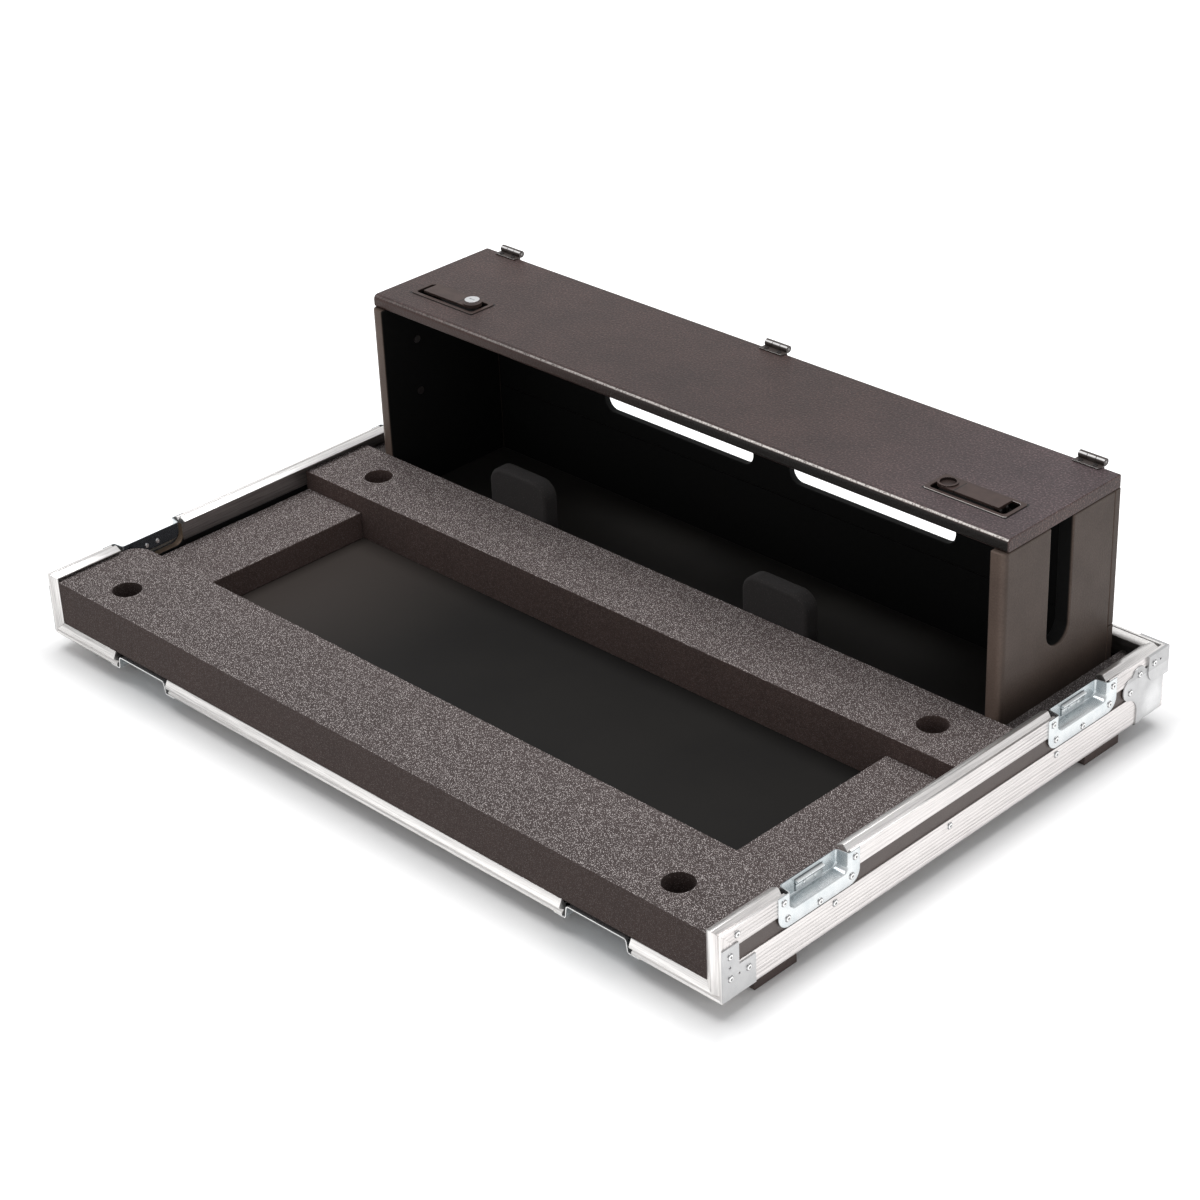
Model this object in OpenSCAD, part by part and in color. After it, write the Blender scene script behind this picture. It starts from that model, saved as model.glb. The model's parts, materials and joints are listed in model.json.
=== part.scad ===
// Open base tray of a mixer flight case, with foam beds and a lidded cable box at the rear.
// X runs along the long side, Y from the open front to the rear wall, Z up.
// Every module is drawn from the tray's front face and underside; at_case() moves it
// so that the origin is under the middle of the whole case, on the floor.

/* [Tray] */
// Outer width of the tray
case_w = 1000; // [900:1:1200]
// Outer depth of the tray
case_d = 668; // [650:1:800]
// Height of the walls from the underside to the outer lip of the top rail
wall_h = 74; // [70:1:110]
// Thickness of the laminated plywood boards
board_t = 9; // [7:0.5:9.5]
// Height of the feet under the tray
foot_h = 20; // [12:1:30]
// Length of a foot, front to back
foot_l = 58; // [40:1:80]
// Width of a foot
foot_w = 40; // [30:1:60]
// Distance from the tray's front face to a front foot
foot_front = 54; // [45:1:80]
// Distance from the tray's rear face to a rear foot
foot_rear = 59; // [45:1:80]
// Distance from the tray's side to a foot
foot_side = 10; // [6:1:30]

/* [Aluminium] */
// Wall thickness of the aluminium sections
section_t = 1.5; // [1.2:0.1:2]
// Height of the outer face of the top rail
rail_face = 20; // [18:0.5:22]
// Width of the top rail across the wall
rail_wide = 18; // [16:0.5:20]
// How far the tongue stands over the rail's outer lip
tongue_rise = 3; // [2:0.5:4]
// Leg of the bottom angle
angle_leg = 36; // [32:1:40]

/* [Hardware] */
// Sheet thickness of the pressed steel hardware
sheet_t = 1.2; // [1:0.1:1.5]
// Width of a catch dish over its flange
dish_w = 112; // [104:1:120]
// Height of a catch dish from its lower edge to its open edge
dish_h = 36; // [34:1:37]
// Width of the recess in a catch dish
recess_w = 80; // [70:1:84]
// Height of the recess in a catch dish
recess_h = 19.5; // [16:0.5:20]
// Depth of the recess in a catch dish
recess_depth = 14; // [12:0.5:15]
// Distance from the front face to the middle of the front side dishes
dish_front_y = 131; // [120:1:150]
// Distance from the rear face to the middle of the rear side dishes
dish_rear = 140; // [130:1:180]
// Distance from the tray's side to the middle of a dish under the front edge
dish_bottom = 157; // [130:1:200]
// Diameter of a rivet head
rivet_d = 7.5; // [6:0.5:8]

/* [Foam] */
// Level of the front foam bar's top
front_foam_top = 69; // [60:1:70]
// Depth of the front foam bar
front_foam_d = 112; // [90:1:130]
// Level of the rear foam bar's top
rear_foam_top = 66; // [55:1:70]
// Depth of the rear foam bar
rear_foam_d = 92; // [80:1:110]
// Level of the tops of the side blocks
block_top = 44; // [30:1:55]
// Distance from the tray's side to the mixer pocket between the side blocks
pocket_side = 109; // [80:1:150]
// Level of the foam beside the cable box
gap_foam_top = 57; // [40:1:66]
// Diameter of the round holes in the foam bars
foam_hole_d = 33; // [20:1:40]
// Distance from the tray's side to the middle of a round hole
foam_hole_side = 89; // [75:1:120]
// Distance from the front face to the front holes
front_hole_y = 41; // [35:1:60]
// Width of an upright foam pad
pad_w = 90; // [70:1:110]
// Thickness of an upright foam pad
pad_t = 21; // [15:1:30]
// Level of the top of an upright foam pad
pad_top = 110; // [95:1:130]

/* [Cable box] */
// Distance from the tray's side to the cable box
box_side = 44; // [41:1:70]
// Depth of the cable box from the fronts of its side panels
box_d = 187; // [180:1:200]
// Distance from the tray's rear face to the back of the cable box
box_rear = 31; // [28:1:40]
// Level of the lid's top face
lid_top = 266; // [230:1:300]
// Thickness of the lid
lid_t = 15; // [12:0.5:18]
// How far the lid's front edge lies behind the fronts of the side panels
lid_setback = 5; // [2:1:10]
// Thickness of the side panels
side_t = 18; // [15:0.5:20]
// Thickness of the rear flap and the strip under it
rear_t = 9; // [8:0.5:10]
// Level of the seam between the strip and the flap
seam_z = 96; // [92:1:110]
// Width of a cable slot in a side panel
side_slot_w = 36; // [26:1:44]
// Distance from the fronts of the side panels to the middle of their slot
side_slot_y = 92; // [80:1:100]
// Level of the bottom of a side slot
side_slot_z = 113; // [100:1:130]
// Length of each cable slot in the rear flap
rear_slot_l = 232; // [180:1:260]
// Distance from the middle to the inner end of a rear slot
rear_slot_in = 27; // [20:1:50]
// Level of the sill of the rear slots
rear_slot_z = 118; // [112:1:150]

/* [Hinges] */
// Distance from the side of the cable box to the middle of an outer hinge
hinge_side = 38; // [30:1:60]
// Width of a hinge
hinge_w = 32; // [26:1:40]
// Radius of a hinge barrel
barrel_r = 4; // [3.5:0.25:4.5]
// Diameter of a hinge pin
pin_d = 3; // [2:0.25:4]
// Thickness of a hinge leaf
leaf_t = 1.5; // [1.2:0.1:2]
// Length of a long hinge leaf
leaf_l = 34; // [28:1:40]

/* [Locks] */
// Distance from the side of the cable box to the outer end of a lock frame
lock_end = 29; // [29:1:60]
// Distance from the fronts of the side panels to the middle of a lock
lock_front = 56; // [45:1:65]
// Length of a lock frame
frame_l = 102; // [98:1:110]
// Width of a lock frame
frame_w = 37; // [36:0.5:42]
// Distance from the frame's outer end to the spindle
spindle_in = 19; // [17.5:0.5:22]
// Diameter of the lock spindle
spindle_d = 12; // [10:0.5:13]
// Width of the lever
lever_w = 21.5; // [18:0.5:24]
// Thickness of the lever
lever_t = 2.5; // [2:0.25:4]
// Height of the round cup at the lever's free end
cup_h = 4; // [4:0.5:9]
// Diameter of the key cylinder, which sets the cup
key_d = 17; // [14:0.5:18]
// Height of the key cylinder over its seat
key_h = 6; // [5:0.5:14]
// Reach of the cam from its spindle
cam_reach = 27; // [20:0.5:27]

/* [Hidden] */

// Overrun for cuts, and the finish of round shapes
over = 1;
$fn = 48;

// Gap between pieces that move past each other, and running clearance of a pin in its bore
move_gap = 0.3;
run_gap = 0.05;
spindle_gap = 0.1;

// Levels and planes of the tray
floor_top = section_t + board_t;
wall_in = section_t + board_t;
slot_root = 6;
board_top = wall_h - slot_root;
half_w = case_w / 2;
corner_t = 1.5;
rivet_h = 1.6;
rivet_rim = 0.6;
rivet_flat_d = 5;
rivet_hollow_d = 2;
mid_y = (case_d + 2 * corner_t + rivet_h - tongue_rise) / 2;
mitre_turn = 45;
mitre_back_turn = 225;

// Shape of the rail section, from its outer face inwards
lip_w = 3;
valley_u = 5;
valley_d = 3;
ridge_u = 10;
ridge_w = 2;
tip_drop = 0.5;
inner_leg = 26;
flange_in = slot_root - section_t;
groove_w = 0.9;
groove_d = 0.2;
rail_grooves = 4;
angle_grooves = 7;
angle_round = 2 * section_t;
angle_steps = 6;
quarter = 90;

// Catch dish details
dish_rear_y = case_d - dish_rear;
dish_bottom_x = half_w - dish_bottom;
dish_corner = 14;
recess_corner = 7;
rail_gap_side = 5;
rail_gap = recess_w + 2 * rail_gap_side;
cutout_side = 6;
cutout_w = recess_w + 2 * cutout_side;
cutout_z = 44;
cutout_corner = 12;
cutout_bottom_d = 30;
rivet_side = 7;
rivet_low_side = 12;
rivet_low_edge = 10;
rivet_edge = 5;
tail_x = 7.5;
tail_q = 11;
tail_d = 6;
tail_h = 1.2;
tail_flat_d = 3.5;
plate_w = 37;
plate_h = 13;
plate_t = 2;
plate_lip = 3;

// Rivets
angle_rivet_shares = [0.229, 0.479, 0.729];
rail_rivet_y = 21;
rail_rivet_drop = 8;
rivet_pitch_shares = [-0.33, 0, 0.33];

// Corner brace at the front, as lengths along and up
brace_long = 44;
brace_low = 34;
brace_narrow = 22;
brace_tall = 58;
brace_base = 2;
brace_hole_d = 2.6;
brace_edge = 10;

// Ball corner and the cap over it
leaf_top = 62;
lobe_r = 13;
lobe_a = [59, 48];
lobe_b = [46, 57];
lobe_b_r = 12;
notch = [66, 17];
notch_r = norm(notch - lobe_a) - lobe_r;
corner_waist = notch.x - notch_r;
under_reach = 55;
lobe_a_rivet = [61, 45];
lobe_b_rivet = [45.5, 60];
ball_in = 11;
ball_bulge = 3;
cap_rivet = [23, 64];
cap_hole = [12, 64];
cap_hole_d = 2.6;
cap_reach = 32;
cap_drop = 32;
cap_corner = 14;

// Foam
front_foam_in = 1;
foam_corner = 26;
block_gap = 5;
foam_gap = 0.3;
foam_side = wall_in + section_t + foam_gap;
pad_corner = 20;
left_pad_share = -0.45;
right_pad_share = 0.322;
foam_hole_x = half_w - foam_hole_side;
pocket_half = half_w - pocket_side;
pad_behind = 0.3;

// Cable box
box_half = half_w - box_side;
box_back = case_d - box_rear;
box_front = box_back - box_d;
panel_in = box_half - side_t;
panel_top = lid_top - lid_t;
panel_round = 8;
panel_end = box_back - rear_t;
lid_front = box_front + lid_setback;
lid_back = box_back - move_gap;
lid_front_r = 6;
lid_under_r = 3;
seam_gap = 0.6;
rear_slot_r = 14;
bumper_d = 9;
bumper_h = 2;
bumper_in = 50;
bumper_zs = [134, 200];

// Hinges
hinge_x = box_half - hinge_side;
barrel_y = box_back + barrel_r;
lid_axis_z = lid_top + barrel_r;
bore_d = pin_d + 2 * run_gap;
knuckle_w = hinge_w / 3;
lid_leaf_l = 8.5;
screw_d = 6;
screw_h = 1.2;
screw_side = 9;

// Locks
rim_h = 1;
rim_w = 3;
rim_corner = 4;
tray_wall = 1.5;
tray_depth = 11;
tray_floor = 2.5;
pivot_drop = 4;
head_d = 15;
head_gap = 0.4;
cheek_w = 14;
cheek_foot = 0.5;
lug_w = 6;
lever_pin_d = 4;
lever_tail = 5;
cup_in = 4;
cup_floor = 1;
cam_gap = 1;
cam_t = 3;
cam_w = 14;
cam_hub_r = 11;
nut_af = 17;
nut_h = 4;
frame_end = box_half - lock_end;
lock_x = frame_end - frame_l / 2;
lock_y = box_front + lock_front;
spindle_x = frame_end - spindle_in;
pivot_z = lid_top - pivot_drop;
lever_low = lid_top + rim_h + move_gap;
cup_r = lever_w / 2;
cup_x = lock_x - frame_l / 2 + rim_w + cup_in + cup_r;
cam_z = lid_top - lid_t - cam_t - cam_gap;
tray_z = lid_top - tray_depth + tray_floor;
cheek_r = tray_depth - tray_floor - pivot_drop - move_gap;
lug_r = pivot_drop - head_gap;

module at_case() translate([0, -mid_y, foot_h]) children();

// Shapes drawn for the left side are turned over for the right one
module sided(s) {
    if (s < 0) children();
    else mirror([1, 0, 0]) children();
}

module both_sides() {
    children();
    mirror([1, 0, 0]) children();
}

module box(x0, x1, y0, y1, z0, z1) translate([x0, y0, z0]) cube([x1 - x0, y1 - y0, z1 - z0]);

// Points of a grooved outer face at u = 0, from v0 up to v1
function grooved_face(v0, v1, n) =
    let (pitch = (v1 - v0) / (n + 1))
    [for (i = [1:n]) each [[0, v0 + i * pitch - groove_w / 2], [groove_d, v0 + i * pitch],
        [0, v0 + i * pitch + groove_w / 2]]];

// Section of the tongue rail: u inwards from the outer face, v up from the outer lip
module rail_section() polygon(concat(
    [[0, -rail_face]], grooved_face(-rail_face, 0, rail_grooves),
    [[0, 0], [lip_w, 0], [valley_u, -valley_d], [ridge_u - ridge_w / 2, tongue_rise],
        [ridge_u + ridge_w / 2, tongue_rise], [rail_wide, -tip_drop],
        [rail_wide, -tip_drop - section_t], [wall_in + section_t, -slot_root + section_t],
        [wall_in + section_t, -inner_leg], [wall_in, -inner_leg], [wall_in, -slot_root],
        [section_t, -slot_root], [section_t, -rail_face]]));

// Section of the bottom angle: u inwards, v up, with a rounded outer corner
module angle_section() polygon(concat(
    [for (i = [0:angle_steps]) let (turn = i * quarter / angle_steps)
        [angle_round * (1 - sin(turn)), angle_round * (1 - cos(turn))]],
    grooved_face(angle_round, angle_leg, angle_grooves),
    [[0, angle_leg], [section_t, angle_leg], [section_t, section_t], [angle_leg, section_t],
        [angle_leg, 0]]));

module along_left(y0, y1, z) translate([-half_w, y1, z]) rotate([90, 0, 0])
    linear_extrude(y1 - y0) children();

module along_rear(x0, x1, z) translate([x1, case_d, z]) rotate([90, 0, -90])
    linear_extrude(x1 - x0) children();

// Everything on the far side of a plane that leans 45 degrees
module past_mitre(turn) rotate(turn) translate([0, -case_w, -case_w])
    cube([case_w, 2 * case_w, 2 * case_w]);

// Mitres of the front frame, where the plane leans between the rail and the post
module big_block() translate([-case_w, 0, -case_w]) cube(2 * case_w);
module front_top_mitre() translate([0, 0, wall_h]) rotate([mitre_turn, 0, 0]) children();
module front_bottom_mitre() translate([-half_w, 0, 0]) rotate([0, -mitre_turn, 0])
    translate([0, 0, case_w]) children();

module left_rear_mitre() translate([-half_w, case_d, 0]) past_mitre([0, 0, mitre_turn]);
module rear_left_mitre() translate([-half_w, case_d, 0]) past_mitre([0, 0, mitre_back_turn]);

// Boards
module base_board() at_case() color([0.27, 0.24, 0.23]) difference() {
    box(-half_w + section_t, half_w - section_t, slot_root, case_d - section_t,
        section_t, floor_top);
    for (x = [-dish_bottom_x, dish_bottom_x])
        box(x - cutout_w / 2, x + cutout_w / 2, 0, cutout_bottom_d, 0, floor_top + over);
}

module side_wall_board(s) at_case() color([0.40, 0.35, 0.33]) sided(s) difference() {
    box(-half_w + section_t, -half_w + wall_in, slot_root, case_d - section_t,
        floor_top, board_top);
    for (y = [dish_front_y, dish_rear_y])
        translate([-half_w, y, 0]) rotate([90, 0, 90]) linear_extrude(wall_in + over)
            cutout_outline();
}

module cutout_outline() {
    translate([-cutout_w / 2, cutout_z + cutout_corner]) square([cutout_w, wall_h]);
    translate([-cutout_w / 2 + cutout_corner, cutout_z])
        square([cutout_w - 2 * cutout_corner, wall_h]);
    for (s = [-1, 1])
        translate([s * (cutout_w / 2 - cutout_corner), cutout_z + cutout_corner])
            circle(cutout_corner);
}

module rear_wall_board() at_case() color([0.40, 0.35, 0.33])
    box(-half_w + wall_in, half_w - wall_in, case_d - wall_in, case_d - section_t,
        floor_top, board_top);

// Aluminium sections
module side_top_rail(s) at_case() color([0.90, 0.89, 0.88]) sided(s) difference() {
    along_left(-tongue_rise, case_d, wall_h) rail_section();
    front_top_mitre() translate([0, -2 * case_w, 0]) big_block();
    left_rear_mitre();
    for (y = [dish_front_y, dish_rear_y])
        box(-half_w - over, -half_w + rail_wide + over, y - rail_gap / 2, y + rail_gap / 2,
            0, wall_h + tongue_rise + over);
}

module rear_top_rail() at_case() color([0.90, 0.89, 0.88]) difference() {
    along_rear(-half_w, half_w, wall_h) rail_section();
    both_sides() rear_left_mitre();
}

module side_bottom_angle(s) at_case() color([0.90, 0.89, 0.88]) sided(s) difference() {
    along_left(rail_face, case_d, 0) angle_section();
    left_rear_mitre();
}

module rear_bottom_angle() at_case() color([0.90, 0.89, 0.88]) difference() {
    along_rear(-half_w, half_w, 0) angle_section();
    both_sides() rear_left_mitre();
}

module rear_corner_angles() at_case() color([0.90, 0.89, 0.88]) both_sides()
    translate([0, 0, angle_leg]) linear_extrude(wall_h - rail_face - angle_leg) {
        translate([-half_w, case_d - angle_leg]) square([section_t, angle_leg]);
        translate([-half_w, case_d - section_t]) square([angle_leg, section_t]);
    }

// The front frame is mitred like a picture frame: two posts and the bottom rail
module post_blank() translate([-half_w, 0, 0]) mirror([0, 1, 0])
    linear_extrude(wall_h + tongue_rise) rail_section();

module front_post(s) at_case() color([0.90, 0.89, 0.88]) sided(s) difference() {
    post_blank();
    front_top_mitre() big_block();
    front_bottom_mitre() translate([0, -case_w, -2 * case_w]) big_block();
}

module front_bottom_rail() at_case() color([0.90, 0.89, 0.88]) difference() {
    translate([-half_w, 0, 0]) rotate([180, -90, 0]) linear_extrude(case_w) rail_section();
    both_sides() front_bottom_mitre() translate([0, -case_w, 0]) big_block();
    for (x = [-dish_bottom_x, dish_bottom_x])
        box(x - rail_gap / 2, x + rail_gap / 2, -tongue_rise - over, inner_leg + over,
            -over, rail_wide + over);
}

// Pressed hardware. A dish is drawn with p along the wall, q up to its open edge at 0
// and r outwards from the face that it is riveted to
module on_side(y) translate([half_w, y, wall_h]) rotate([90, 0, 90]) children();
module on_underside(x) translate([x, 0, 0]) rotate([180, 0, 0]) children();

module half_rounded(w, h, r) {
    translate([-w / 2, -h + r]) square([w, h - r]);
    translate([-w / 2 + r, -h]) square([w - 2 * r, h]);
    for (s = [-1, 1]) translate([s * (w / 2 - r), -h + r]) circle(r);
}

module dish() difference() {
    union() {
        linear_extrude(sheet_t) half_rounded(dish_w, dish_h, dish_corner);
        translate([0, 0, -recess_depth]) linear_extrude(recess_depth)
            half_rounded(recess_w + 2 * sheet_t, recess_h + sheet_t, recess_corner + sheet_t);
    }
    translate([0, 0, -recess_depth + sheet_t]) linear_extrude(recess_depth + over)
        union() {
            half_rounded(recess_w, recess_h, recess_corner);
            translate([-recess_w / 2, -over]) square([recess_w, 2 * over]);
        }
}

module side_dish(s, y) at_case() color([0.72, 0.76, 0.78]) sided(-s) on_side(y) dish();
module bottom_dish(s) at_case() color([0.72, 0.76, 0.78])
    on_underside(s * dish_bottom_x) dish();

// Plate in the recess that a latch's claw pulls on, with its lip turned out
module catch_plate() translate([0, 0, -recess_depth + sheet_t]) {
    translate([-plate_w / 2, -(recess_h + plate_h) / 2, 0]) cube([plate_w, plate_h, plate_t]);
    translate([-plate_w / 2, -(recess_h - plate_h) / 2 - plate_lip, plate_t])
        cube([plate_w, plate_lip, plate_lip]);
}

module at_dishes() {
    for (y = [dish_front_y, dish_rear_y]) both_sides() on_side(y) children();
    for (x = [-dish_bottom_x, dish_bottom_x]) on_underside(x) children();
}

module catch_plates() at_case() color([0.78, 0.80, 0.81]) at_dishes() catch_plate();

// Flat L-shaped brace over the mitre at the front of each side
module corner_braces() at_case() color([0.74, 0.76, 0.77]) both_sides()
    translate([half_w, 0, 0]) rotate([90, 0, 90]) linear_extrude(corner_t) difference() {
        union() {
            translate([0, brace_base]) square([brace_long, brace_low - brace_base]);
            translate([0, brace_base]) square([brace_narrow, brace_tall - brace_base]);
        }
        for (p = brace_hole_places()) translate(p) circle(d = brace_hole_d, $fn = 16);
    }

function brace_rivet_places() = let (e = brace_edge)
    [[e, brace_tall - e], [e, brace_low - e], [brace_long - e, brace_low - e]];
function brace_hole_places() = let (r = brace_rivet_places())
    [(r[0] + r[1]) / 2, (r[1] + r[2]) / 2];

// One face of the ball corner: a runs from the corner along the edge, b away from it
module corner_leaf() {
    difference() {
        union() {
            translate([-corner_t, -corner_t])
                square([corner_waist + corner_t, leaf_top + corner_t]);
            polygon([[0, notch.y], notch, lobe_a, [0, lobe_a.y]]);
        }
        translate(notch) circle(notch_r);
    }
    translate(lobe_a) circle(lobe_r);
    translate(lobe_b) circle(lobe_b_r);
}

module corner_under_leaf() {
    translate([-corner_t, -corner_t]) square([corner_waist + corner_t, under_reach + corner_t]);
    translate([-corner_t, -corner_t]) square([under_reach + corner_t, corner_waist + corner_t]);
    translate([under_reach - lobe_r, under_reach - lobe_r]) circle(lobe_r);
}

// The left rear corner's leaf laid on the side, on the rear and under the floor
module corner_side() translate([-half_w, case_d, 0]) rotate([90, 0, -90]) children();
module corner_rear() translate([-half_w, case_d, 0]) rotate([90, 0, 0]) mirror([0, 0, 1])
    children();
module corner_under() translate([-half_w, case_d, 0]) rotate([180, 0, 0]) children();

module ball_corner(s) at_case() color([0.76, 0.76, 0.76]) sided(s) difference() {
    union() {
        corner_side() linear_extrude(corner_t) corner_leaf();
        corner_rear() linear_extrude(corner_t) corner_leaf();
        corner_under() linear_extrude(corner_t) corner_under_leaf();
        translate([-half_w + ball_in, case_d - ball_in, ball_in])
            sphere(ball_in + ball_bulge);
    }
    translate([-half_w, case_d - case_w, 0]) cube(case_w);
}

// Cap that wraps the top of each rear corner, over the ball corner's plates
module cap_leaf() difference() {
    translate([0, wall_h - cap_drop]) square([cap_reach, cap_drop]);
    translate([cap_reach - cap_corner, wall_h - cap_drop - over]) difference() {
        square([cap_corner + over, cap_corner + over]);
        translate([0, cap_corner + over]) circle(cap_corner);
    }
    translate(cap_hole) circle(d = cap_hole_d, $fn = 16);
}

module cap_top() translate([0, leaf_top]) difference() {
    square([cap_reach, wall_h - leaf_top]);
    translate(cap_hole - [0, leaf_top]) circle(d = cap_hole_d, $fn = 16);
}

module corner_caps() at_case() color([0.78, 0.78, 0.77]) both_sides() {
    corner_side() {
        translate([0, 0, corner_t]) linear_extrude(corner_t) cap_leaf();
        linear_extrude(2 * corner_t) cap_top();
    }
    corner_rear() {
        translate([0, 0, corner_t]) linear_extrude(corner_t) cap_leaf();
        linear_extrude(2 * corner_t) cap_top();
    }
    translate([-half_w - 2 * corner_t, case_d, wall_h - cap_drop])
        cube([corner_t, 2 * corner_t, cap_drop]);
    translate([-half_w - 2 * corner_t, case_d + corner_t, wall_h - cap_drop])
        cube([2 * corner_t, corner_t, cap_drop]);
    translate([-half_w - 2 * corner_t, case_d, leaf_top])
        cube([2 * corner_t, 2 * corner_t, wall_h - leaf_top]);
}

// Rivet head with a sloped rim and a small hollow in the middle
module rivet() difference() {
    union() {
        cylinder(h = rivet_rim, d = rivet_d);
        translate([0, 0, rivet_rim])
            cylinder(h = rivet_h - rivet_rim, d1 = rivet_d, d2 = rivet_flat_d);
    }
    translate([0, 0, rivet_h - rivet_rim]) cylinder(h = rivet_h, d = rivet_hollow_d);
}

function dish_rivet_places() = [
    for (k = [-1, 1]) each [[k * (dish_w / 2 - rivet_side), -rivet_side],
        [k * (dish_w / 2 - rivet_low_side), -dish_h + rivet_low_edge]],
    [0, -dish_h + rivet_edge]];

module case_rivets() at_case() color([0.82, 0.82, 0.82]) {
    at_dishes() {
        for (p = dish_rivet_places()) translate([p.x, p.y, sheet_t]) rivet();
        for (k = [-1, 1]) translate([k * tail_x, -tail_q, -recess_depth]) rotate([180, 0, 0])
            cylinder(h = tail_h, d1 = tail_d, d2 = tail_flat_d);
    }
    both_sides() {
        translate([half_w + corner_t, 0, 0]) rotate([90, 0, 90])
            for (p = brace_rivet_places()) translate(p) rivet();
        for (k = angle_rivet_shares)
            translate([half_w, k * case_d, angle_leg - rivet_side])
            rotate([0, 90, 0]) rivet();
        translate([half_w, rail_rivet_y, wall_h - rail_rivet_drop]) rotate([0, 90, 0]) rivet();
        corner_side() corner_rivets();
        corner_rear() corner_rivets();
    }
    for (k = rivet_pitch_shares, z = [angle_leg - rivet_side, wall_h - rivet_side])
        translate([k * case_w, case_d, z]) rotate([-90, 0, 0]) rivet();
}

module corner_rivets() {
    for (p = [lobe_a_rivet, lobe_b_rivet]) translate([p.x, p.y, corner_t]) rivet();
    translate([cap_rivet.x, cap_rivet.y, 2 * corner_t]) rivet();
}

module feet() at_case() color([0.25, 0.21, 0.20])
    for (y = [foot_front, case_d - foot_rear - foot_l]) both_sides()
        box(half_w - foot_side - foot_w, half_w - foot_side, y, y + foot_l, -foot_h, 0);

// Foam
module foam_color() color([0.32, 0.28, 0.27]) children();

module front_foam() at_case() foam_color() difference() {
    linear_extrude(front_foam_top) difference() {
        translate([-half_w + foam_side, front_foam_in])
            square([case_w - 2 * foam_side, front_foam_d]);
        both_sides() {
            translate([half_w - foam_side - foam_corner,
                front_foam_in + front_foam_d - foam_corner]) difference() {
                    square(foam_corner + over);
                    circle(foam_corner);
                }
            translate([foam_hole_x, front_hole_y]) circle(d = foam_hole_d);
            translate([half_w - recess_depth - foam_gap, dish_front_y - cutout_w / 2])
                square([recess_depth, cutout_w]);
            translate([half_w - rail_wide - foam_gap, -over])
                square([rail_wide, flange_in + over + foam_gap]);
        }
    }
    translate([-half_w, -over, -over]) cube([case_w, case_d, floor_top + foam_gap + over]);
    both_sides() {
        box(dish_bottom_x - cutout_w / 2, dish_bottom_x + cutout_w / 2, -over,
            recess_h + 2 * sheet_t + foam_gap, 0, recess_depth + foam_gap);
        for (k = [-1, 1]) translate([dish_bottom_x + k * tail_x, tail_q, 0])
            cylinder(h = recess_depth + tail_h + foam_gap, d = tail_d + 2 * foam_gap);
    }
    translate([-half_w, -over, 0])
        cube([case_w, inner_leg + over + foam_gap, wall_in + section_t + foam_gap]);
    translate([-half_w, -over, 0])
        cube([case_w, flange_in + over + foam_gap, rail_wide + foam_gap]);
}

module rear_foam() at_case() foam_color() translate([0, 0, floor_top + foam_gap])
    linear_extrude(rear_foam_top - floor_top - foam_gap) difference() {
        translate([-half_w + foam_side, box_front - foam_gap - rear_foam_d])
            square([case_w - 2 * foam_side, rear_foam_d]);
        both_sides() translate([foam_hole_x, box_front - rear_foam_d / 2])
            circle(d = foam_hole_d);
    }

module block_foam(s) at_case() foam_color() sided(s)
    box(-half_w + wall_in + block_gap, -pocket_half,
        front_foam_in + front_foam_d + foam_gap, box_front - rear_foam_d - 2 * foam_gap,
        floor_top + foam_gap, block_top);

module gap_foam(s) at_case() foam_color() sided(s) difference() {
    box(-half_w + foam_side, -box_half - foam_gap, box_front, case_d - foam_side,
        floor_top + foam_gap, gap_foam_top);
    box(-half_w, -half_w + recess_depth + foam_gap, dish_rear_y - cutout_w / 2,
        dish_rear_y + cutout_w / 2, cutout_z - foam_gap, wall_h);
}

module foam_pad(x) at_case() color([0.13, 0.12, 0.12])
    translate([x, box_front + pad_behind + pad_t, floor_top + foam_gap]) rotate([90, 0, 0])
        linear_extrude(pad_t) {
            h = pad_top - floor_top - foam_gap;
            translate([-pad_w / 2, 0]) square([pad_w, h - pad_corner]);
            translate([-pad_w / 2 + pad_corner, 0]) square([pad_w - 2 * pad_corner, h]);
            for (s = [-1, 1])
                translate([s * (pad_w / 2 - pad_corner), h - pad_corner]) circle(pad_corner);
        }

// Cable box
module box_color() color([0.22, 0.19, 0.18]) children();

module side_panel(s) at_case() box_color() sided(s) difference() {
    translate([0, 0, floor_top]) linear_extrude(panel_top - floor_top) {
        translate([-box_half, box_front + panel_round])
            square([side_t, panel_end - box_front - panel_round]);
        translate([-box_half + panel_round, box_front])
            square([side_t - panel_round, panel_round]);
        translate([-box_half + panel_round, box_front + panel_round]) circle(panel_round);
    }
    if (s > 0) translate([-box_half - over, box_front + side_slot_y, 0]) rotate([90, 0, 90])
        linear_extrude(side_t + 2 * over) {
            translate([0, side_slot_z + side_slot_w / 2]) circle(d = side_slot_w);
            translate([-side_slot_w / 2, side_slot_z + side_slot_w / 2])
                square([side_slot_w, panel_top]);
        }
}

// Round buttons on the inner faces of the side panels
module panel_bumpers() at_case() color([0.12, 0.11, 0.11]) both_sides()
    for (z = bumper_zs) translate([-panel_in, box_front + bumper_in, z]) rotate([0, 90, 0])
        cylinder(h = bumper_h, d = bumper_d);

module rear_strip() at_case() box_color()
    box(-box_half, box_half, box_back - rear_t, box_back, floor_top, seam_z - seam_gap);

module rear_flap() at_case() box_color() difference() {
    box(-box_half, box_half, box_back - rear_t, box_back, seam_z, panel_top);
    both_sides() translate([0, box_back + over, 0]) rotate([90, 0, 0])
        linear_extrude(rear_t + 2 * over) rear_slot_outline();
}

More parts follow.
